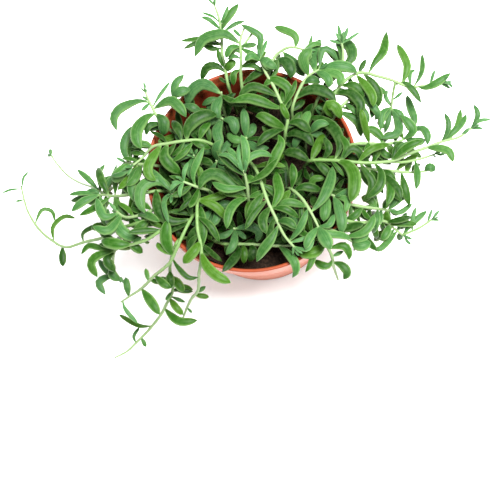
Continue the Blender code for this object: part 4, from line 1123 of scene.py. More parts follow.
# %% Leaves that only the fine model has
MORE_LEAVES = {
    "runner_left": [
        (5, (-55, -31), (-62, -34), (-66, -37)),
        (2.5, (-78, -35), (-80, -29), (-81, -23)),
        (5.5, (-67, -37), (-62, -33), (-56, -31)),
        (5, (-80, -38), (-85, -34), (-90, -35)),
    ],
    "cluster_left": [
        (3, (-86, -16), (-89, -13), (-94, -13)),
        (6, (-70, -13), (-73, -7), (-76, 0)),
        (4.5, (-86, -10), (-83, -7), (-77, -5)),
        (5, (-77, -17), (-74, -24), (-68, -31)),
        (5.5, (-87, -21), (-83, -28), (-78, -35)),
    ],
    "cluster_left_back": [(5, (-62, 2), (-67, -3), (-68, -12), (-65, -20))],
    "cluster_left_middle": [
        (4.5, (-65, -22), (-59, -27), (-51, -31)),
        (5, (-64, -25), (-57, -29), (-51, -32)),
    ],
    "cluster_left_front": [
        (5, (-44, -33), (-40, -38), (-39, -43)),
        (4.5, (-68, -44), (-64, -46), (-60, -49)),
        (5.5, (-79, -48), (-80, -53), (-75, -60)),
        (5, (-80, -57), (-77, -61), (-72, -65)),
    ],
    "stem_left_upper": [(4, (-35, 16), (-29, 14), (-23, 12))],
    "spray_back_right": [
        (4.5, (23, 15), (27, 11), (32, 7)),
        (6, (4, 67), (8, 64), (11, 59)),
    ],
    "spray_back_middle": [(4.5, (-7, 70), (-11, 73), (-14, 68))],
    "spray_back_long": [(5, (-16, 59), (-13, 63), (-10, 65))],
    "spray_far_right_tip": [
        (5.5, (50, 62), (47, 68), (42, 71)),
        (5, (44, 47), (44, 52), (41, 57)),
    ],
    "strand_front_left_low": [
        (5, (-45, -59), (-44, -64), (-43, -69)),
        (4.5, (-42, -71), (-37, -69), (-31, -70)),
    ],
    "strand_front_left_middle": [(4.5, (-50, -65), (-47, -67), (-43, -69))],
    "stem_back_right": [
        (5, (38, 56), (43, 54), (44, 48)),
        (4.6, (29, 51), (34, 53), (39, 51)),
        (5, (46, 58), (50, 55), (49, 49)),
        (6, (26, 61), (29, 66), (34, 72)),
    ],
    "spray_right_long": [
        (4.6, (79, 6), (88, 12), (97, 16)),
        (4, (78, 11), (83, 13), (87, 13)),
    ],
    "stem_right_thin": [(5, (72, -2), (77, -4), (81, -9))],
    "stem_right_back_long": [
        (5, (62, 52), (68, 44), (69, 36)),
        (4, (72, 33), (73, 27), (76, 23)),
        (3, (79, 30), (77, 26), (75, 20)),
        (2.5, (34, 32), (37, 36), (42, 34)),
    ],
    "stem_right_back_short": [
        (4.5, (68, 38), (71, 33), (70, 28)),
        (3.6, (62, 36), (65, 31), (64, 24)),
        (3, (53, 38), (57, 35), (60, 31)),
    ],
    "stem_right_low_back": [
        (4, (72, 13), (71, 9), (69, 5)),
        (4.5, (64, 20), (66, 13), (65, 6)),
        (4, (66, 25), (63, 30), (62, 35)),
        (4, (68, 11), (66, 9), (65, 4)),
        (3, (69, 11), (70, 7), (68, 3)),
    ],
    "cluster_right": [
        (4.5, (71, -26), (70, -31), (68, -38)),
        (3, (72, -20), (68, -23), (62, -24)),
        (4, (62, -26), (58, -28), (53, -31)),
        (4, (55, -26), (53, -22), (54, -16)),
    ],
    "cluster_right_front": [(4.5, (77, -33), (76, -37), (73, -42))],
    "rosette_middle": [(4.5, (-6, -12), (-14, -12), (-22, -8))],
    "stem_front_right": [(4.5, (17, -10), (19, -1), (18, 6))],
    "tuft_inner_left": [
        (4, (-15, 11), (-13, 15), (-8, 14)),
        (4.5, (-21, 0), (-15, 4), (-7, 0)),
    ],
    "tuft_inner_front": [(4, (-20, -28), (-17, -24), (-22, -20), (-27, -20))],
}
placed = 0
layer_rng = random.Random(SEED + 1)
for owner, (name, (lines, leaves)) in enumerate(layout.items()):
    more = planned_leaves(MORE_LEAVES.get(name, []), lines, owner, layer_rng)
    leaves += more
    placed += len(more)
print("second layer:", placed, "of", sum(len(leaves) for leaves in MORE_LEAVES.values()))

# %% [markdown]
# ## Young leaves in the gaps
#
# The plan holds the leaves that can be told apart from above. Below them the plant is full of smaller
# ones, which close the gaps and give the plant its depth from the side. They follow the rule that the
# real ones follow: each sits further round the stem than the last, by the golden angle, and points
# outwards and towards the stem's tip. A leaf that finds no room is left out.

# %% Where young leaves may grow
# Spaces between young leaves in millimetres, inside and outside the rim
FILL_STEP = 5
FILL_STEP_OUTSIDE = 3
# No young leaf starts nearer to the soil or further from the pot's axis than this
FILL_LOW = 6.0
FILL_OUT = 92.0
# Stems that are bare between their planned leaves outside the pot
SPARSE = ("strand_", "runner_", "spray_far", "spray_right_long", "stem_right_back_long", "tuft_back_left")
# Round patches as seen on the rim's level, each by its middle and its radius: dense ones outside the
# pot, and ones inside it where the peat or the wall shows
BUSHY = (
    (73, 17, 27), (74, -30, 19), (-84, -18, 20), (-72, -34, 18), (48, 56, 15), (12, 62, 10), (-60, 8, 16),
)
BARE = ((-14, -48, 5), (13, -52, 6), (0, 23, 6), (-24, 46, 8), (-4, 52, 6), (28, 41, 6))


def over(point, patches):
    """Whether a point is seen over one of the round patches."""
    across, back = plan_of(point)
    return any(math.hypot(across - u, back - v) < radius for u, v, radius in patches)


def in_the_bush(line):
    """Whether a leaf stays over the pot or a dense patch, and leaves the bare peat in sight."""
    if over(line[-1], BARE) or over(line[len(line) // 2], BARE):
        return False
    return over(line[-1], ((0, 0, RIM_RADIUS), *BUSHY))


def may_carry(root, index, sparse):
    """Whether a young leaf can sit at this point of a stem."""
    from_axis = math.hypot(root[0], root[1])
    if from_axis < RIM_RADIUS:
        return index % FILL_STEP == 0 and root[2] >= SOIL_LEVEL + FILL_LOW
    return index % FILL_STEP_OUTSIDE == 0 and from_axis <= FILL_OUT and not sparse


print("young leaves fill the pot and", len(BUSHY), "patches, and leave", len(BARE), "places bare")

# %% [markdown]
# ## The line of a young leaf
#
# On a real stem each leaf sits further round than the last by the golden angle, and so it shades the
# ones below it the least. A leaf could be copied and turned, but then all would be alike.
# Here each gets a line of its own, from how far it leans towards the stem's tip and how it curls.

# %% The line of a young leaf
GOLDEN = math.radians(137.5)
FILL_BOW = 0.12
FILL_REACH = 0.93
# A direction that no stem runs in exactly, from which the turn round a stem is measured
ASKEW = (0.3, 0.2, 1.0)


def side_of(heading, hint, turn):
    """The direction square to a heading that is turned this far round it."""
    first = unit(np.cross(heading, hint))
    return first * math.cos(turn) + np.cross(heading, first) * math.sin(turn)


def grown_line(root, heading, side, length, lean, curl):
    """A leaf's line that leaves the stem sideways, leans towards its tip and curls."""
    out = side * math.cos(lean) + heading * math.sin(lean)
    bend = np.cross(out, (0, 0, 1.0))
    middle = root + out * length * 0.5 + np.array((0, 0, curl * length * FILL_BOW))
    outwards = out * length * FILL_REACH
    tip = root + outwards + bend * curl * length * FILL_BOW + heading * length * FILL_BOW
    return curve_through([root, middle, tip])


print("each leaf sits", round(math.degrees(GOLDEN), 1), "degrees round from the last")

# %% [markdown]
# ## Young leaves along each stem
#
# The places along a stem are gone through from its foot to its tip. At each one a leaf is tried, and
# where it would touch another piece it turns round the stem, gets a little smaller and is tried again.
# After the last try the place stays empty, as it does on a real stem where a leaf has dropped.

# %% Young leaves along each stem
FILL_SEED = 31
# The bare ends of a stem in millimetres
FILL_FROM = 6
FILL_TO = 3
# Sizes, and how far a leaf leans towards the tip and curls to a side
FILL_LENGTH = (15.0, 26.0)
FILL_WIDTH = (3.8, 5.6)
FILL_LEAN = (0.2, 0.8)
FILL_CURL = (-1, 1)
# Each further try turns round the stem a little more and is a little smaller
FILL_TRIES = 14
FILL_TURN = 0.9
FILL_SHRINK = 0.04
# A leaf high on the plant doesn't point up, and outside the pot the first tries point sideways
FILL_HIGH = 90.0
FILL_UPWARD = 0.1
FILL_SIDEWAYS = 0.6
FILL_MARGIN = 9
# A young leaf may press this far into leaves of its own stem, and its first beads join the stem
OWN_CLEARANCE = -0.9
NECK_BEADS = 3


def filler_fits(line, width, owner):
    """The leaf's beads, or None where it would touch another node or hide in its own."""
    if not in_the_bush(line):
        return None
    beads = leaf_beads(line, width)
    if room_to_pot(beads) < CLEARANCE:
        return None
    low = line.min(axis=0) - FILL_MARGIN
    high = line.max(axis=0) + FILL_MARGIN
    if clear_of(beads, taken.others(owner, low, high))[0] < CLEARANCE:
        return None
    past_neck = (beads[0][NECK_BEADS:], beads[1][NECK_BEADS:])
    if clear_of(past_neck, taken.owned(owner, low, high))[0] < OWN_CLEARANCE:
        return None
    return beads


def fill_stem(owner, line, sparse, rng):
    """Filler leaves along one line of a stem."""
    found = []
    dense = evenly(line, 1.0)
    turn = rng.uniform(0, math.tau)
    for index in range(FILL_FROM, len(dense) - FILL_TO):
        root = dense[index]
        if not may_carry(root, index, sparse):
            continue
        inside = math.hypot(root[0], root[1]) < RIM_RADIUS
        heading = unit(dense[index + 2] - dense[index - 2])
        for attempt in range(FILL_TRIES):
            turn += GOLDEN if attempt == 0 else FILL_TURN
            side = side_of(heading, ASKEW, turn)
            if side[2] > FILL_UPWARD and root[2] > FILL_HIGH:
                continue
            if not inside and attempt < FILL_TRIES // 2 and abs(side[2]) > FILL_SIDEWAYS:
                continue
            size = 1 - FILL_SHRINK * attempt
            length = rng.uniform(*FILL_LENGTH) * size
            width = rng.uniform(*FILL_WIDTH) * size
            leaf = grown_line(root, heading, side, length, rng.uniform(*FILL_LEAN), rng.uniform(*FILL_CURL))
            beads = filler_fits(leaf, width, owner)
            if beads:
                taken.add(beads, owner)
                found.append((leaf, width))
                break
    return found


def fill_all():
    rng = random.Random(FILL_SEED)
    return {
        name: [leaf for line in lines for leaf in fill_stem(owner, line, name.startswith(SPARSE), rng)]
        for owner, (name, (lines, _)) in enumerate(layout.items())
    }


fillers = fill_all()
print("added", sum(len(leaves) for leaves in fillers.values()), "young leaves")

# %% [markdown]
# ## Rings round a line
#
# A leaf could be a curve with a bevel, but its skin needs to know where it lies on the leaf: which side
# is up, how far along it is, and how old the leaf is. So leaves and stems are lofted. Rings of points
# are set across the middle line, as wide as the leaf is there, and each point keeps those facts as
# attributes for the material.

# %% A piece that grows ring by ring
# The fourth fact holds chance in the colour, and for a leaf also its painted shade deep in the pot
FACTS = ("along", "across", "upward", "tone", "youth", "plump")
LEAF_ROUND = 14
ROUND = np.linspace(0, math.tau, LEAF_ROUND, endpoint=False)


class Growth:
    """Points, faces and facts of one piece, gathered part by part."""

    def __init__(self):
        self.points = []
        self.faces = []
        self.kinds = []
        self.facts = []
        self.count = 0

    def add_rings(self, centres, across, up, wide, thick, facts, kind):
        """A closed loft. facts gives the last three values, and wide and thick are half sizes."""
        stations = len(centres)
        ring = np.stack([np.cos(ROUND), np.sin(ROUND)], axis=1)
        points = (centres[:, None] + across[:, None] * (ring[None, :, :1] * wide[:, None, None])
                  + up[:, None] * (ring[None, :, 1:] * thick[:, :, None]))
        known = np.empty((stations, LEAF_ROUND, len(FACTS)))
        known[..., 0] = np.linspace(0, 1, stations)[:, None]
        known[..., 1] = ring[None, :, 0]
        known[..., 2] = ring[None, :, 1]
        known[..., 3:] = facts
        before = len(self.faces)
        self.add_grid(points, known)
        self.kinds += [kind] * (len(self.faces) - before)

    def add_grid(self, points, known):
        """Quads between the rings, and a cap on the first and the last."""
        stations, round_count = points.shape[:2]
        first = self.count
        self.points.append(points.reshape(-1, 3))
        self.facts.append(known.reshape(-1, len(FACTS)))
        self.count += stations * round_count
        for station in range(stations - 1):
            row = first + station * round_count
            for step in range(round_count):
                after = (step + 1) % round_count
                self.faces.append(
                    (row + step, row + after, row + round_count + after, row + round_count + step))
        self.faces.append(tuple(first + step for step in reversed(range(round_count))))
        last = first + (stations - 1) * round_count
        self.faces.append(tuple(last + step for step in range(round_count)))

    def piece(self, name):
        mesh = bpy.data.meshes.new(name)
        mesh.from_pydata(np.vstack(self.points) * MM, [], self.faces)
        facts = np.vstack(self.facts).astype(np.float32)
        for number, fact in enumerate(FACTS):
            mesh.attributes.new(fact, "FLOAT", "POINT").data.foreach_set("value", facts[:, number])
        mesh.polygons.foreach_set("material_index", self.kinds)
        mesh.shade_smooth()
        return add_object(name, mesh)


print("each ring has", LEAF_ROUND, "points, and each point keeps", len(FACTS), "facts")

# %% [markdown]
# ## A leaf
#
# The real leaf is like a small banana. It is widest past its middle, rounder below than above, and
# some are plumper than others. One mesh could be bent into every place, but its width would stretch
# with it. Here the rings take their widths from two tables, for a slender leaf and a plump one, and
# each leaf lies somewhere between the two.

# %% A leaf
LEAF_KIND = 0
LEAF_STATIONS = 17
# Widths along a slender and a plump leaf, as shares of the widest
GIRTH_AT = (0, 0.06, 0.15, 0.28, 0.42, 0.52, 0.65, 0.78, 0.86, 0.93, 0.97, 1)
SLENDER = (0.0, 0.22, 0.38, 0.66, 0.90, 1.0, 0.96, 0.79, 0.60, 0.35, 0.17, 0.02)
PLUMP = (0.0, 0.32, 0.58, 0.87, 0.99, 1.0, 1.0, 0.92, 0.79, 0.52, 0.26, 0.02)
# How much broader than planned a leaf is, and how deep its groove and its keel are
BROADER = 1.08
GROOVE = 0.07
KEEL = 0.06
# The tip in millimetres, and where the neck ends and how slim it may be, as shares of the leaf
TIP_RADIUS = 0.05
NECK_END = 0.3
SLIM_NECK = 0.22


def add_leaf(growth, line, width, tone, youth, plump):
    """One banana-shaped leaf with a shallow groove on its upper side and a faint keel below."""
    shares = 0.5 - 0.5 * np.cos(np.linspace(0.0, math.pi, LEAF_STATIONS))
    centres = at_lengths(line, shares * lengths_along(line)[-1])
    _, across, up = frames_along(centres)
    size = np.interp(shares, GIRTH_AT, plump * np.array(PLUMP) + (1 - plump) * np.array(SLENDER))
    half = np.maximum(size * width / 2, min(NECK_RADIUS, SLIM_NECK * width) * (shares < NECK_END))
    half[-1] = TIP_RADIUS
    dent = 1 - GROOVE * np.clip(np.sin(ROUND), 0, 1) ** 6 + KEEL * np.clip(-np.sin(ROUND), 0, 1) ** 4
    thick = half[:, None] * LEAF_THICKNESS * dent[None, :]
    growth.add_rings(centres, across, up, half * BROADER, thick, (tone, youth, plump), LEAF_KIND)


print("a leaf has", LEAF_STATIONS * LEAF_ROUND, "points")

# %% [markdown]
# ## A stem
#
# A stem is a round tube, a little knobbly along its length, and thinner at its tip. A curve with a bevel
# would do, but as rings it can share one mesh with its leaves. Its first ring is turned anyhow, and each
# next one is turned as little as possible, so that the tube has no twist.

# %% A stem
STEM_KIND = 1
# A direction that no stem starts in, and how fine a stem's curve and its rings are
STEM_ASKEW = (0.9, 0.3, 0.1)
STEM_SPAN_POINTS = 6
STEM_RING_SPACING = 2.2
# Swellings along a stem, and its radius at these shares of its length
SWELLING = 0.07
SWELLING_TURN = 1.9
TAPER_AT = (0, 0.8, 1)
TAPER = (1.05, 0.95, 0.6)


def add_stem(growth, line, radius, tone, is_shoot=0.0):
    """A round stem, a little knobbly along its length, tapering to its tip."""
    points = evenly(curve_through(line, STEM_SPAN_POINTS), STEM_RING_SPACING)
    shares = np.linspace(0, 1, len(points))
    swell = 1 + SWELLING * np.sin(np.arange(len(points)) * SWELLING_TURN)
    size = radius * swell * np.interp(shares, TAPER_AT, TAPER)
    along = unit(np.gradient(points, axis=0))
    across = [np.cross(along[0], STEM_ASKEW)]
    for direction in along[1:]:
        across.append(across[-1] - direction * (across[-1] @ direction))
    across = unit(np.array(across))
    up = np.cross(across, along)
    thick = np.repeat(size[:, None], LEAF_ROUND, axis=1)
    growth.add_rings(points, across, up, size, thick, (tone, is_shoot, 0.0), STEM_KIND)


print("a 100 mm stem has about", round(100 / STEM_RING_SPACING), "rings")

# %% [markdown]
# ## Young leaves, and painted shade deep in the pot
#
# Leaves near a stem's tip are the youngest, so they are paler and more blue-green, and leaves deep in the
# pot get painted shade and are dark. The material could find that out from where a leaf lies, but it would
# change within one leaf. So each leaf gets one age and one tone with its painted shade, with a little chance
# in the tone.

# %% The age of a leaf, and its tone with painted shade
# A leaf is young near a tip, where the share falls with the distance, and where it is narrow
YOUNG_START = 1.15
YOUNG_REACH = 22
YOUNG_AT_TIP = 0.6
YOUNG_WIDTH = 2.7
YOUNG_IF_NARROW = 0.4
# Painted shade: inside the pot a leaf's tone runs from dark at the height DEEP to light at HIGH
DEEP = 97.0
HIGH = 118.0
LEAST_TONE = 0.35
OUTER_TONE = 0.3


def youth_of(line, width, tips):
    """How young a leaf is: narrow leaves and leaves at a tip are the youngest."""
    nearest = min(np.linalg.norm(line[0] - tip) for tip in tips)
    at_tip = np.clip(YOUNG_START - nearest / YOUNG_REACH, 0, 1)
    return float(at_tip * YOUNG_AT_TIP + (width < YOUNG_WIDTH) * YOUNG_IF_NARROW)


def tone_of(line, chance):
    """How light a leaf is: inside the pot painted shade makes the lowest leaves the darkest, outside it the
    tone is chance above a floor.
    """
    middle = line[len(line) // 2]
    if math.hypot(middle[0], middle[1]) > RIM_RADIUS:
        return OUTER_TONE + (1 - OUTER_TONE) * chance
    depth = np.clip((middle[2] - DEEP) / (HIGH - DEEP), 0, 1)
    return float(depth * (LEAST_TONE + (1 - LEAST_TONE) * chance))


print("leaves whose middle is lower than", DEEP, "mm in the pot are the darkest")

# %% [markdown]
# ## Leaves that are still closed
#
# At a growing tip the next few leaves are still closed round each other like a bud. A single cone
# could stand for them, but from near by the tips show apart. So each is a tiny leaf of its own, and
# the lower ones open a little more.

# %% Leaves that are still closed
BUD_LEAVES = 4
BUD_LENGTH = (3.5, 7.5)
BUD_WIDTH = 0.27
BUD_ASKEW = (0.2, 0.1, 1.0)
# How far below the tip the first bud leaf starts, and the step down to each next one
BUD_START = 0.8
BUD_STEP = 0.9
# How far a bud leaf points along the stem and to its side, and how much more each next one opens
BUD_MIDDLE = (0.86, 0.42)
BUD_TIP = (0.93, 0.25)
BUD_OPENS = 0.18


def bud_leaves(line, rng):
    """The tiny leaves that are still closed round a stem's tip."""
    heading = unit(line[-1] - line[-2])
    found = []
    for number in range(BUD_LEAVES):
        side = side_of(heading, BUD_ASKEW, GOLDEN * number)
        length = rng.uniform(*BUD_LENGTH)
        root = line[-1] - heading * (BUD_START + BUD_STEP * number)
        middle = root + (heading * BUD_MIDDLE[0] + side * BUD_MIDDLE[1]) * length * 0.5
        tip = root + (heading * BUD_TIP[0] + side * (BUD_TIP[1] + BUD_OPENS * number)) * length
        found.append((curve_through([root, middle, tip]), length * BUD_WIDTH))
    return found


print("each open tip ends in", BUD_LEAVES, "closed leaves")

# %% [markdown]
# ## One piece for each leafy stem
#
# A piece takes a stem, its shoots and all its leaves, so that it can stand for one solid of the packed
# model. Each leaf could be an object too, but hundreds of them would be hard to handle.

# %% Grow the pieces
TONE_SEED = 5
BUD_PLUMP = 0.2
# Stems that end in their planned leaves
BARE_TIPS = ("runner_", "strand_", "stem_right_thin", "spray_back_middle", "tuft_", "stem_along")


def grow(name, rng):
    """The finished piece of one node."""
    lines, leaves = layout[name]
    tips = [line[-1] for line in lines]
    growth = Growth()
    add_stem(growth, lines[0], STEM_RADIUS, rng.random())
    for line in lines[1:]:
        add_stem(growth, line, SHOOT_RADIUS, rng.random(), is_shoot=1.0)
    for line, width in leaves:
        # A leaf's tone carries painted shade where it sits deep in the pot
        tone = tone_of(line, rng.random())
        add_leaf(growth, line, width, tone, youth=youth_of(line, width, tips), plump=rng.random())
    for line, width in fillers[name]:
        add_leaf(growth, line, width, tone_of(line, rng.random()), youth=0.0, plump=rng.random())
    if not name.startswith(BARE_TIPS):
        for stem in lines:
            for line, width in bud_leaves(stem, rng):
                add_leaf(growth, line, width, rng.random(), youth=1.0, plump=BUD_PLUMP)
    made = growth.piece("plant_" + name)
    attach(made, "root")
    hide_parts(name)
    return made


tone_rng = random.Random(TONE_SEED)
plant = [grow(name, tone_rng) for name in STEMS]
print("grew", len(plant), "pieces with", sum(len(piece.data.polygons) for piece in plant), "faces")

# %% [markdown]
# ## Are the pieces where the solids are?
#
# Every piece is compared with the box of the solid that it stands for. The second layer and the
# young leaves may stand out a little, but a stem that had moved would show here at once.

# %% Compare the boxes
def box_difference(piece, name):
    """The largest distance in millimetres between the sides of a piece's box and its solid's."""
    low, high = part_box(name)
    points = np.array([corner[:] for corner in piece.bound_box])
    return max(np.abs(points.min(axis=0) - low).max(), np.abs(points.max(axis=0) - high).max()) / MM


differences = {name: box_difference(piece, name) for name, piece in zip(STEMS, plant)}
worst = max(differences, key=differences.get)
print("largest difference from a solid's box:", round(differences[worst], 1), "mm at", worst)

# %% [markdown]
# ## A kit for materials
#
# A material is a graph of nodes, and wiring one by hand takes many lines. This small kit makes a node
# and connects it in one call, so that the recipe of each material can be read below as a list.

# %% A small kit for material nodes
class Wiring:
    """Builds a material's nodes with short calls. Masks run from 0 to 1."""

    def __init__(self, name):
        self.material = bpy.data.materials.new(name)
        self.material.use_nodes = True
        self.nodes = self.material.node_tree.nodes
        self.links = self.material.node_tree.links
        self.shader = self.nodes["Principled BSDF"]

    def join(self, value, socket):
        """Gives a socket another node's output, or a plain value."""
        if isinstance(value, bpy.types.NodeSocket):
            self.links.new(value, socket)
        else:
            socket.default_value = value

    def fact(self, name):
        """What a piece stored with its points under this name."""
        node = self.nodes.new("ShaderNodeAttribute")
        node.attribute_name = name
        return node.outputs["Fac"]

    def maths(self, operation, first, second=0.0, third=0.0):
        node = self.nodes.new("ShaderNodeMath")
        node.operation = operation
        for value, socket in zip((first, second, third), node.inputs):
            self.join(value, socket)
        return node.outputs[0]

    def span(self, value, low, high, to_low=0.0, to_high=1.0):
        """Softly moves the range from low to high onto another range."""
        node = self.nodes.new("ShaderNodeMapRange")
        node.interpolation_type = "SMOOTHSTEP"
        self.join(value, node.inputs["Value"])
        limits = {"From Min": low, "From Max": high, "To Min": to_low, "To Max": to_high}
        for socket, number in limits.items():
            node.inputs[socket].default_value = number
        return node.outputs["Result"]

    def mix(self, share, first, second):
        """A colour between two, the second where the share is 1."""
        node = self.nodes.new("ShaderNodeMix")
        node.data_type = "RGBA"
        self.join(share, node.inputs[0])
        for value, socket in ((first, node.inputs[6]), (second, node.inputs[7])):
            self.join(value if isinstance(value, bpy.types.NodeSocket) else (*value, 1), socket)
        return node.outputs[2]

    def noise(self, scale, detail=3.0, roughness=0.55):
        """Cloudy noise that is fixed to the piece."""
        places = self.nodes.new("ShaderNodeTexCoord")
        node = self.nodes.new("ShaderNodeTexNoise")
        self.links.new(places.outputs["Object"], node.inputs["Vector"])
        for socket, number in {"Scale": scale, "Detail": detail, "Roughness": roughness}.items():
            node.inputs[socket].default_value = number
        return node.outputs["Fac"]

    def bump(self, height, strength, distance):
        node = self.nodes.new("ShaderNodeBump")
        node.inputs["Strength"].default_value = strength
        node.inputs["Distance"].default_value = distance
        self.join(height, node.inputs["Height"])
        self.links.new(node.outputs["Normal"], self.shader.inputs["Normal"])

    def set(self, **sockets):
        """Sets the shader's sockets, each named with _ for its spaces."""
        for name, value in sockets.items():
            self.join(value, self.shader.inputs[name.replace("_", " ")])


print("the kit has", len([name for name in vars(Wiring) if not name.startswith("_")]), "calls")

# %% [markdown]
# ## The skin of the leaves
#
# The skin is waxy and water-filled: mid green, a little translucent, with a soft sheen. Fine darker lines
# run along the upper side, where the real leaf lets light in, and the neck and the tip are paler. The edges
# get a painted rim highlight, and leaves deep in the pot get painted shade. An image could be wrapped round
# each leaf instead. Here each part of the colour is a mask from the facts that were stored with the points,
# so it stays in place when the plant turns.

# %% Leaf skin
# The darkest green is for leaves in painted shade deep in the pot, and the palest also paints a rim
# highlight on the edges
LEAF_DARK = (0.003, 0.018, 0.001)
LEAF_MID = (0.017, 0.067, 0.005)
LEAF_YELLOW = (0.036, 0.095, 0.005)
LEAF_PALE = (0.20, 0.32, 0.11)
LEAF_YOUNG = (0.048, 0.130, 0.045)
LINE_DARK = (0.002, 0.014, 0.001)
LINE_PLACES = (-0.40, -0.06, 0.30)
LINE_HALF = 0.07


def leaf_skin():
    wiring = Wiring("succulent_green_skin")
    across = wiring.fact("across")
    along = wiring.fact("along")
    mottle = wiring.noise(420, 4)
    patch = wiring.noise(60, 2)
    # The leaf's green with painted shade: dark for leaves deep in the pot, light for high ones, with some
    # chance
    tone = wiring.maths("ADD", wiring.fact("tone"), wiring.maths("MULTIPLY", patch, 0.4))
    colour = wiring.mix(wiring.span(tone, 0.1, 1.35), LEAF_DARK, LEAF_MID)
    colour = wiring.mix(wiring.span(wiring.fact("plump"), 0.7, 1.0, 0.0, 0.7), colour, LEAF_YELLOW)
    colour = wiring.mix(wiring.maths("MULTIPLY", wiring.fact("youth"), 0.75), colour, LEAF_YOUNG)
    # A painted rim highlight on the edges, stronger on lighter leaves, and a paler neck and tip
    painted_rim_light = wiring.span(wiring.maths("ABSOLUTE", across), 0.5, 1.0, 0.0, 0.4)
    painted_rim_light = wiring.maths("MULTIPLY", painted_rim_light, wiring.span(tone, 0.1, 1.0, 0.3, 1.0))
    neck = wiring.span(along, 0.24, 0.02, 0.0, 0.85)
    tip = wiring.span(along, 0.9, 1.0, 0.0, 0.35)
    for paler in (painted_rim_light, neck, tip):
        colour = wiring.mix(paler, colour, LEAF_PALE)
    # Dark lines along the upper side
    on_top = wiring.span(wiring.fact("upward"), 0.35, 0.75)
    for middle in LINE_PLACES:
        away = wiring.maths("ABSOLUTE", wiring.maths("SUBTRACT", across, middle))
        line = wiring.maths("MULTIPLY", wiring.span(away, LINE_HALF, 0.0, 0.0, 0.5), on_top)
        colour = wiring.mix(line, colour, LINE_DARK)
    colour = wiring.mix(wiring.span(mottle, 0.4, 0.7, 0.0, 0.07), colour, LEAF_PALE)
    wiring.set(Base_Color=colour, Roughness=wiring.span(mottle, 0.3, 0.7, 0.38, 0.48),
               Specular_IOR_Level=0.08, Subsurface_Weight=0.05,
               Subsurface_Radius=(0.5, 1.0, 0.25), Subsurface_Scale=0.0015)
    wiring.bump(mottle, 0.25, 0.0002)
    return wiring.material


leaf_material = leaf_skin()
print("leaf skin has", len(leaf_material.node_tree.nodes), "nodes")

# %% [markdown]
# ## The skin of the stems
#
# A stem is pale green, paler towards its tip, and the foot of an old stem is brown and woody. It could
# share the skin of the leaves, but it is duller and has no lines. So it gets a material of its own,
# which reads how far along the stem a point lies. For a stem the fact called youth tells a shoot,
# which has no woody foot.

# %% Stem skin
STEM_GREEN = (0.070, 0.145, 0.030)
STEM_PALE = (0.15, 0.215, 0.095)
STEM_BROWN = (0.13, 0.10, 0.04)


def stem_skin():
    wiring = Wiring("succulent_green_stem")
    along = wiring.fact("along")
    mottle = wiring.noise(500, 3)
    is_shoot = wiring.fact("youth")
    paler = wiring.maths("ADD", wiring.span(along, 0.1, 0.95), wiring.maths("MULTIPLY", is_shoot, 0.4))
    colour = wiring.mix(paler, STEM_GREEN, STEM_PALE)
    colour = wiring.mix(wiring.span(mottle, 0.4, 0.75, 0.0, 0.25), colour, LEAF_PALE)
    woody = wiring.maths("SUBTRACT", wiring.span(along, 0.16, 0.02, 0.0, 0.7), is_shoot)
    colour = wiring.mix(woody, colour, STEM_BROWN)
    wiring.set(Base_Color=colour, Roughness=0.5, Specular_IOR_Level=0.2,
               Subsurface_Weight=0.1, Subsurface_Radius=(0.6, 1.0, 0.3), Subsurface_Scale=0.001)
    wiring.bump(mottle, 0.3, 0.0002)
    return wiring.material


stem_material = stem_skin()
for piece in plant:
    piece.data.materials.append(leaf_material)
    piece.data.materials.append(stem_material)
print("stem skin has", len(stem_material.node_tree.nodes), "nodes")

# %% [markdown]
# ## The pot
#
# A nursery pot is thin moulded plastic. It could be a cylinder that is widened and hollowed out. Here
# it is turned from one profile, as its solid is, with the same radii and heights and rounded edges.

# %% The pot's profile
INNER_ROUND = 1.0
OUTER_ROUND = 0.8
LIP_ROUND = 0.5
FOOT_ROUND = 1.0


def arc(middle, radius, start, end, steps=5):
    """Points of (radius, height) on a round edge, between two angles in degrees."""
    angles = [math.radians(start + (end - start) * step / steps) for step in range(steps + 1)]
    return [(middle[0] + radius * math.cos(a), middle[1] + radius * math.sin(a)) for a in angles]


def pot_profile():
    """The pot's outline in (radius, height), from the middle of its floor over the rim to its foot."""
    under = RIM_RADIUS - LIP_STEP
    lip_low = POT_HEIGHT - LIP_HEIGHT
    slope = (under - BASE_RADIUS) / lip_low
    inner = RIM_RADIUS - LIP_WIDTH
    return [
        # The top of the floor, with its corner cut
        (0, BASE_THICKNESS),
        (BASE_RADIUS - WALL + BASE_THICKNESS * slope - 1.5, BASE_THICKNESS),
        (BASE_RADIUS - WALL + BASE_THICKNESS * slope, BASE_THICKNESS + 1.2),
        # The inner wall, with its step out to the lip
        (under - WALL, lip_low),
        (inner - 0.3, lip_low + 2),
        (inner, lip_low + 2.8),
        # The rounded lip
        *arc((inner + INNER_ROUND, POT_HEIGHT - INNER_ROUND), INNER_ROUND, 180, 90),
        *arc((RIM_RADIUS - OUTER_ROUND, POT_HEIGHT - OUTER_ROUND), OUTER_ROUND, 90, 0),
        (RIM_RADIUS, lip_low + 0.6),
        *arc((RIM_RADIUS - LIP_ROUND, lip_low + 0.4), LIP_ROUND, 0, -90, 3),
        # The corner under the lip, and the outer wall down to the rounded foot
        (under + 0.3, lip_low - 0.3),
        (under, lip_low - 0.9),
        (BASE_RADIUS + 0.25, 1.6),
        *arc((BASE_RADIUS - 0.9, FOOT_ROUND), FOOT_ROUND, 0, -90, 4),
        (0, 0),
    ]


print("the pot's profile has", len(pot_profile()), "points")

# %% [markdown]
# ## The pot's body and its holes
#
# The Screw modifier turns the profile once round. Six round holes let water out of the base. They are
# cut with a Boolean modifier and six pegs, which is quicker than building a base with holes in it,
# and the result is made final so that the pegs can go.

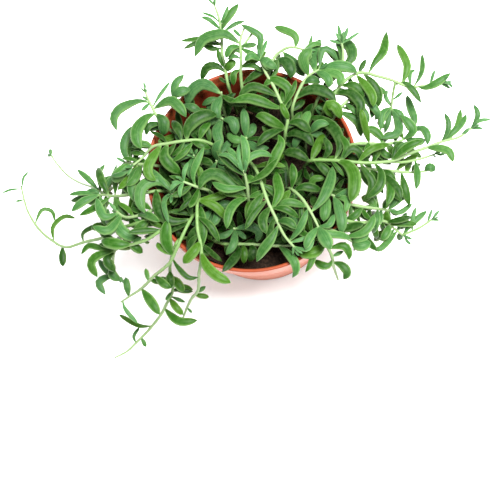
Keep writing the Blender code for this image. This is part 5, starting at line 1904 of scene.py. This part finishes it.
# %% The pot's body and its holes
POT_STEPS = 144
DRAIN_HOLES = 6
DRAIN_RADIUS = 3.5
DRAIN_CIRCLE = 28.0
PEG_SIDES = 32


def turned(name, profile, steps):
    """A body that the profile draws when it is turned once round the upright axis."""
    mesh = bpy.data.meshes.new(name)
    mesh.from_pydata([(radius * MM, 0, height * MM) for radius, height in profile],
                     [(i, i + 1) for i in range(len(profile) - 1)], [])
    made = add_object(name, mesh)
    turn = made.modifiers.new("turn", "SCREW")
    turn.steps = steps
    turn.render_steps = steps
    turn.use_merge_vertices = True
    turn.merge_threshold = 1e-6
    turn.use_smooth_shade = True
    return made


def drained(piece):
    """The drainage holes in the base, cut with round pegs."""
    pegs = bpy.data.collections.new("drain_pegs")
    bpy.context.scene.collection.children.link(pegs)
    for number in range(DRAIN_HOLES):
        angle = math.tau * number / DRAIN_HOLES
        solid = bmesh.new()
        bmesh.ops.create_cone(solid, cap_ends=True, segments=PEG_SIDES, radius1=DRAIN_RADIUS * MM,
                              radius2=DRAIN_RADIUS * MM, depth=4 * BASE_THICKNESS * MM)
        mesh = bpy.data.meshes.new("peg")
        solid.to_mesh(mesh)
        solid.free()
        peg = bpy.data.objects.new(f"peg_{number}", mesh)
        peg.location = (DRAIN_CIRCLE * MM * math.cos(angle), DRAIN_CIRCLE * MM * math.sin(angle), 0)
        pegs.objects.link(peg)
    cut = piece.modifiers.new("drain", "BOOLEAN")
    cut.operation = "DIFFERENCE"
    cut.operand_type = "COLLECTION"
    cut.collection = pegs
    bpy.context.view_layer.update()
    graph = bpy.context.evaluated_depsgraph_get()
    holed = bpy.data.meshes.new_from_object(piece.evaluated_get(graph))
    piece.modifiers.clear()
    piece.data = holed
    for peg in list(pegs.objects):
        bpy.data.objects.remove(peg)
    bpy.data.collections.remove(pegs)


pot = turned("pot_body", pot_profile(), POT_STEPS)
drained(pot)
print("pot faces:", len(pot.data.polygons))

# %% [markdown]
# ## The plastic
#
# The plastic is an orange-brown like clay, with a satin shine. Seen from above, the pot has a pale wall, a
# darker rim and a much darker inside; the rim's top and the inner wall are darkened with painted shade. One
# colour would lose that, so the painted shade is stored with the points, and the material reads it.

# %% Plastic
PLASTIC_ORANGE = (0.31, 0.070, 0.023)
PLASTIC_DEEP = (0.22, 0.040, 0.013)
# Painted shade: its colour, the height of the band that counts as the rim's top, and the share of it there
PLASTIC_PAINTED_SHADE = (0.10, 0.015, 0.006)
RIM_TOP = 0.7
RIM_SHADE = 0.7
SHARP_ANGLE = 50


def mark_inside_painted_shade(piece):
    """Stores the painted shade on the plastic: full on the inner wall, and a little less on the rim's top.
    """
    points = np.empty(len(piece.data.vertices) * 3)
    piece.data.vertices.foreach_get("co", points)
    points = points.reshape(-1, 3) / MM
    outer = BASE_RADIUS + (RIM_RADIUS - LIP_STEP - BASE_RADIUS) * points[:, 2] / (POT_HEIGHT - LIP_HEIGHT)
    inner_side = np.linalg.norm(points[:, :2], axis=1) < np.minimum(outer, RIM_RADIUS) - 0.8 * WALL
    inside = (inner_side & (points[:, 2] > 0.5 * BASE_THICKNESS)).astype(np.float32)
    inside[points[:, 2] > POT_HEIGHT - RIM_TOP] = RIM_SHADE
    piece.data.attributes.new("inside", "FLOAT", "POINT").data.foreach_set("value", inside)


def plastic():
    wiring = Wiring("terracotta_plastic_satin")
    cloud = wiring.noise(35, 3)
    grain = wiring.noise(900, 2)
    colour = wiring.mix(wiring.span(cloud, 0.3, 0.75, 0.0, 0.35), PLASTIC_ORANGE, PLASTIC_DEEP)
    # Painted shade on the inner wall, and a little less on the rim's top
    colour = wiring.mix(wiring.maths("MULTIPLY", wiring.fact("inside"), 0.92), colour, PLASTIC_PAINTED_SHADE)
    wiring.set(Base_Color=colour, Roughness=wiring.span(cloud, 0.3, 0.7, 0.38, 0.48),
               Specular_IOR_Level=wiring.span(wiring.fact("inside"), 0.0, 1.0, 0.2, 0.05),
               Subsurface_Weight=0.08, Subsurface_Radius=(1.0, 0.35, 0.2), Subsurface_Scale=0.002)
    wiring.bump(grain, 0.12, 0.0002)
    return wiring.material


mark_inside_painted_shade(pot)
pot.data.materials.append(plastic())
pot.data.shade_smooth()
pot.data.set_sharp_from_angle(angle=math.radians(SHARP_ANGLE))
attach(pot, "root")
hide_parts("pot")
print("the pot's material is", pot.data.materials[0].name)

# %% [markdown]
# ## The soil
#
# Peat is never flat. A displacement modifier could roughen a disc, but the crumbs have to know how
# high the soil is under them. So one small function gives the height at each place from noise, and
# the rings of the soil's top follow it. Its side and floor follow the inside of the pot with a small
# gap.

# %% Soil
GAP = 0.3
SOIL_RINGS = 70
SOIL_SPOKES = 160
# Where the soil's side starts under the edge of its top, and the cut corner round its floor
SOIL_EDGE = 8
SOIL_FOOT = 2
SOIL_FOOT_CUT = 0.5
# Two sizes of lumps: how often they come, where they are read from the noise, how the noise gets
# finer, and how high they are in millimetres
COARSE_SCALE = 0.11
COARSE_SLICE = 3.1
COARSE_NOISE = (1.0, 2.0, 4)
COARSE_LUMPS = 0.88
FINE_SCALE = 0.55
FINE_SLICE = 8.7
FINE_NOISE = (0.9, 2.0, 3)
FINE_LUMPS = 0.45
# The lumps lie this far below the soil's level
SUNK = 0.6


def soil_height(x, y):
    """The height of the soil's top in millimetres."""
    coarse = noise.fractal(Vector((x * COARSE_SCALE, y * COARSE_SCALE, COARSE_SLICE)), *COARSE_NOISE)
    fine = noise.fractal(Vector((x * FINE_SCALE, y * FINE_SCALE, FINE_SLICE)), *FINE_NOISE)
    return SOIL_LEVEL - SUNK + COARSE_LUMPS * coarse + FINE_LUMPS * fine


def finished(solid, name):
    """The object that a bmesh in millimetres turns into."""
    bmesh.ops.scale(solid, vec=(MM, MM, MM), verts=solid.verts)
    mesh = bpy.data.meshes.new(name)
    solid.to_mesh(mesh)
    solid.free()
    return add_object(name, mesh)


def soil_ring(solid, radius, height=None):
    """A ring of points at one height, or on the soil's top."""
    row = []
    for spoke in range(SOIL_SPOKES):
        x = radius * math.cos(math.tau * spoke / SOIL_SPOKES)
        y = radius * math.sin(math.tau * spoke / SOIL_SPOKES)
        row.append(solid.verts.new((x, y, soil_height(x, y) if height is None else height)))
    return row


def make_soil():
    slope = (RIM_RADIUS - LIP_STEP - BASE_RADIUS) / (POT_HEIGHT - LIP_HEIGHT)
    inner = BASE_RADIUS - WALL - 2 * GAP
    floor = BASE_THICKNESS + GAP
    top_radius = inner + slope * SOIL_LEVEL
    solid = bmesh.new()
    centre = solid.verts.new((0, 0, soil_height(0, 0)))
    rings = [soil_ring(solid, top_radius * ring / SOIL_RINGS) for ring in range(1, SOIL_RINGS + 1)]
    for height in (SOIL_LEVEL - SOIL_EDGE, floor + SOIL_FOOT, floor):
        radius = inner + slope * height - (0 if height > floor else SOIL_FOOT_CUT)
        rings.append(soil_ring(solid, radius, height))
    for step in range(SOIL_SPOKES):
        after = (step + 1) % SOIL_SPOKES
        solid.faces.new((centre, rings[0][step], rings[0][after]))
        for inner_row, outer_row in zip(rings, rings[1:]):
            solid.faces.new((inner_row[step], outer_row[step], outer_row[after], inner_row[after]))
    solid.faces.new(reversed(rings[-1]))
    made = finished(solid, "soil_body")
    made.data.shade_smooth()
    return made, top_radius


soil, soil_radius = make_soil()
print("soil faces:", len(soil.data.polygons))

# %% [markdown]
# ## Crumbs
#
# Loose crumbs of many sizes lie on the peat. A particle system could scatter them. A short loop with a
# seed does the same and gives the same result each time. A crumb is a small sphere that is flattened
# and has each of its points moved in or out a little.

# %% Crumbs
CRUMB_SEED = 12
CRUMBS = 700
CRUMB_EDGE = 2
CRUMB_SIZE = (0.4, 1.7)
CRUMB_SHRINK = (0.4, 1)
CRUMB_LIFT = 0.25
CRUMB_FLAT = (0.4, 0.8)
CRUMB_WIDE = (0.6, 1.4)
CRUMB_ROUGH = (0.82, 1.12)


def make_crumbs(top_radius):
    rng = random.Random(CRUMB_SEED)
    solid = bmesh.new()
    for _ in range(CRUMBS):
        radius = (top_radius - CRUMB_EDGE) * math.sqrt(rng.random())
        angle = rng.uniform(0, math.tau)
        x, y = radius * math.cos(angle), radius * math.sin(angle)
        size = rng.uniform(*CRUMB_SIZE) * rng.uniform(*CRUMB_SHRINK)
        made = bmesh.ops.create_icosphere(solid, subdivisions=1, radius=size)
        stretch = (rng.uniform(*CRUMB_WIDE), rng.uniform(*CRUMB_WIDE), rng.uniform(*CRUMB_FLAT))
        bmesh.ops.scale(solid, vec=stretch, verts=made["verts"])
        for vert in made["verts"]:
            vert.co *= rng.uniform(*CRUMB_ROUGH)
        z = soil_height(x, y) + size * CRUMB_LIFT
        bmesh.ops.translate(solid, vec=(x, y, z), verts=made["verts"])
    return finished(solid, "soil_crumbs")


crumbs = make_crumbs(soil_radius)
print("crumb faces:", len(crumbs.data.polygons))

# %% [markdown]
# ## Straws
#
# A few dry bits of old stem lie among the crumbs. They could be cylinders, but none of them is
# straight. A straw is made as the stems are, as a thin tube along a line that turns at each step.

# %% Straws
TWIG_SEED = 4
TWIGS = 26
TWIG_EDGE = 9
TWIG_POINTS = 4
TWIG_LENGTH = (5.0, 13.0)
TWIG_RADIUS = (0.25, 0.55)
TWIG_TURN = (-0.5, 0.5)
TWIG_LIFT = 0.3
TWIG_ARCH = (0, 0.8)


def make_twigs(top_radius):
    rng = random.Random(TWIG_SEED)
    growth = Growth()
    for _ in range(TWIGS):
        radius = (top_radius - TWIG_EDGE) * math.sqrt(rng.random())
        angle = rng.uniform(0, math.tau)
        heading = rng.uniform(0, math.tau)
        line = []
        for step in range(TWIG_POINTS):
            x = radius * math.cos(angle) + math.cos(heading) * step * rng.uniform(*TWIG_LENGTH) / TWIG_POINTS
            y = radius * math.sin(angle) + math.sin(heading) * step * rng.uniform(*TWIG_LENGTH) / TWIG_POINTS
            heading += rng.uniform(*TWIG_TURN)
            line.append((x, y, soil_height(x, y) + TWIG_LIFT + rng.uniform(*TWIG_ARCH)))
        add_stem(growth, np.array(line), rng.uniform(*TWIG_RADIUS), rng.random())
    # A twig's one material is its first, while a stem's is its second
    growth.kinds = [0] * len(growth.kinds)
    return growth.piece("soil_twigs")


twigs = make_twigs(soil_radius)
print("straw faces:", len(twigs.data.polygons))

# %% [markdown]
# ## Peat and straw
#
# Wet peat is nearly black, with brown fibres that catch the light. It is matte, so nearly all of its
# look is in the fine bumps, which the noise for the colour gives too. Old straw is dull and pale.

# %% Peat and straw
PEAT_DARK = (0.011, 0.007, 0.005)
PEAT_BROWN = (0.055, 0.032, 0.019)
TWIG_BROWN = (0.11, 0.06, 0.027)
TWIG_STRAW = (0.36, 0.26, 0.14)


def dry_twig():
    wiring = Wiring("potting_soil_twig")
    fibre = wiring.noise(900, 4)
    straw = wiring.mix(wiring.span(wiring.fact("tone"), 0.55, 0.95), TWIG_BROWN, TWIG_STRAW)
    wiring.set(Base_Color=wiring.mix(wiring.span(fibre, 0.35, 0.7), straw, TWIG_BROWN), Roughness=0.8)
    wiring.bump(fibre, 0.6, 0.0003)
    return wiring.material


def peat():
    wiring = Wiring("potting_soil_peat")
    crumb = wiring.noise(700, 6, 0.7)
    patch = wiring.noise(90, 3)
    share = wiring.maths("MULTIPLY", wiring.span(crumb, 0.4, 0.7), wiring.span(patch, 0.3, 0.7, 0.35, 1.0))
    wiring.set(Base_Color=wiring.mix(share, PEAT_DARK, PEAT_BROWN), Roughness=0.95, Specular_IOR_Level=0.1)
    wiring.bump(crumb, 0.9, 0.0006)
    return wiring.material


peat_material = peat()
for piece in (soil, crumbs):
    piece.data.materials.append(peat_material)
    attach(piece, "root")
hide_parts("soil")
twigs.data.materials.append(dry_twig())
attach(twigs, "root")
print("peat has", len(peat_material.node_tree.nodes), "nodes")

# %% [markdown]
# ## Floor and light
#
# The plant stands on a plain white surface in a bright room, so shadows are faint and wide. A ring of
# lamps could give that. Here the world lights everything from all round, which keeps the undersides
# of the leaves from going black, and one soft round lamp above gives the leaves their form.

# %% Stage
FLOOR_SIZE = 6.0
FLOOR_WHITE = (0.93, 0.93, 0.93)
FLOOR_DROP = 0.0002
KEY_PLACE = (0.35, 0.1, 1.45)
KEY_AIM = (0, 0, 0.08)
KEY_SIZE = 0.6
KEY_POWER = 78
WORLD_LIGHT = 1.15


def add_floor():
    bpy.ops.mesh.primitive_plane_add(size=FLOOR_SIZE, location=(0, 0, -FLOOR_DROP))
    floor = bpy.context.object
    floor.name = "floor"
    wiring = Wiring("floor_white")
    wiring.set(Base_Color=(*FLOOR_WHITE, 1), Roughness=0.9, Specular_IOR_Level=0.1)
    floor.data.materials.append(wiring.material)


def add_light(name, location, aim, size, power):
    data = bpy.data.lights.new(name, "AREA")
    data.shape = "DISK"
    data.size = size
    data.energy = power
    light = add_object(name, data)
    light.location = location
    light.rotation_euler = (Vector(aim) - Vector(location)).to_track_quat("-Z", "Y").to_euler()


def add_world():
    world = bpy.data.worlds.new("studio")
    world.use_nodes = True
    background = world.node_tree.nodes["Background"]
    background.inputs["Color"].default_value = (1, 1, 1, 1)
    background.inputs["Strength"].default_value = WORLD_LIGHT
    bpy.context.scene.world = world


add_floor()
add_light("key", KEY_PLACE, KEY_AIM, KEY_SIZE, KEY_POWER)
add_world()
bpy.context.scene.view_settings.view_transform = "Standard"
print("stage ready")
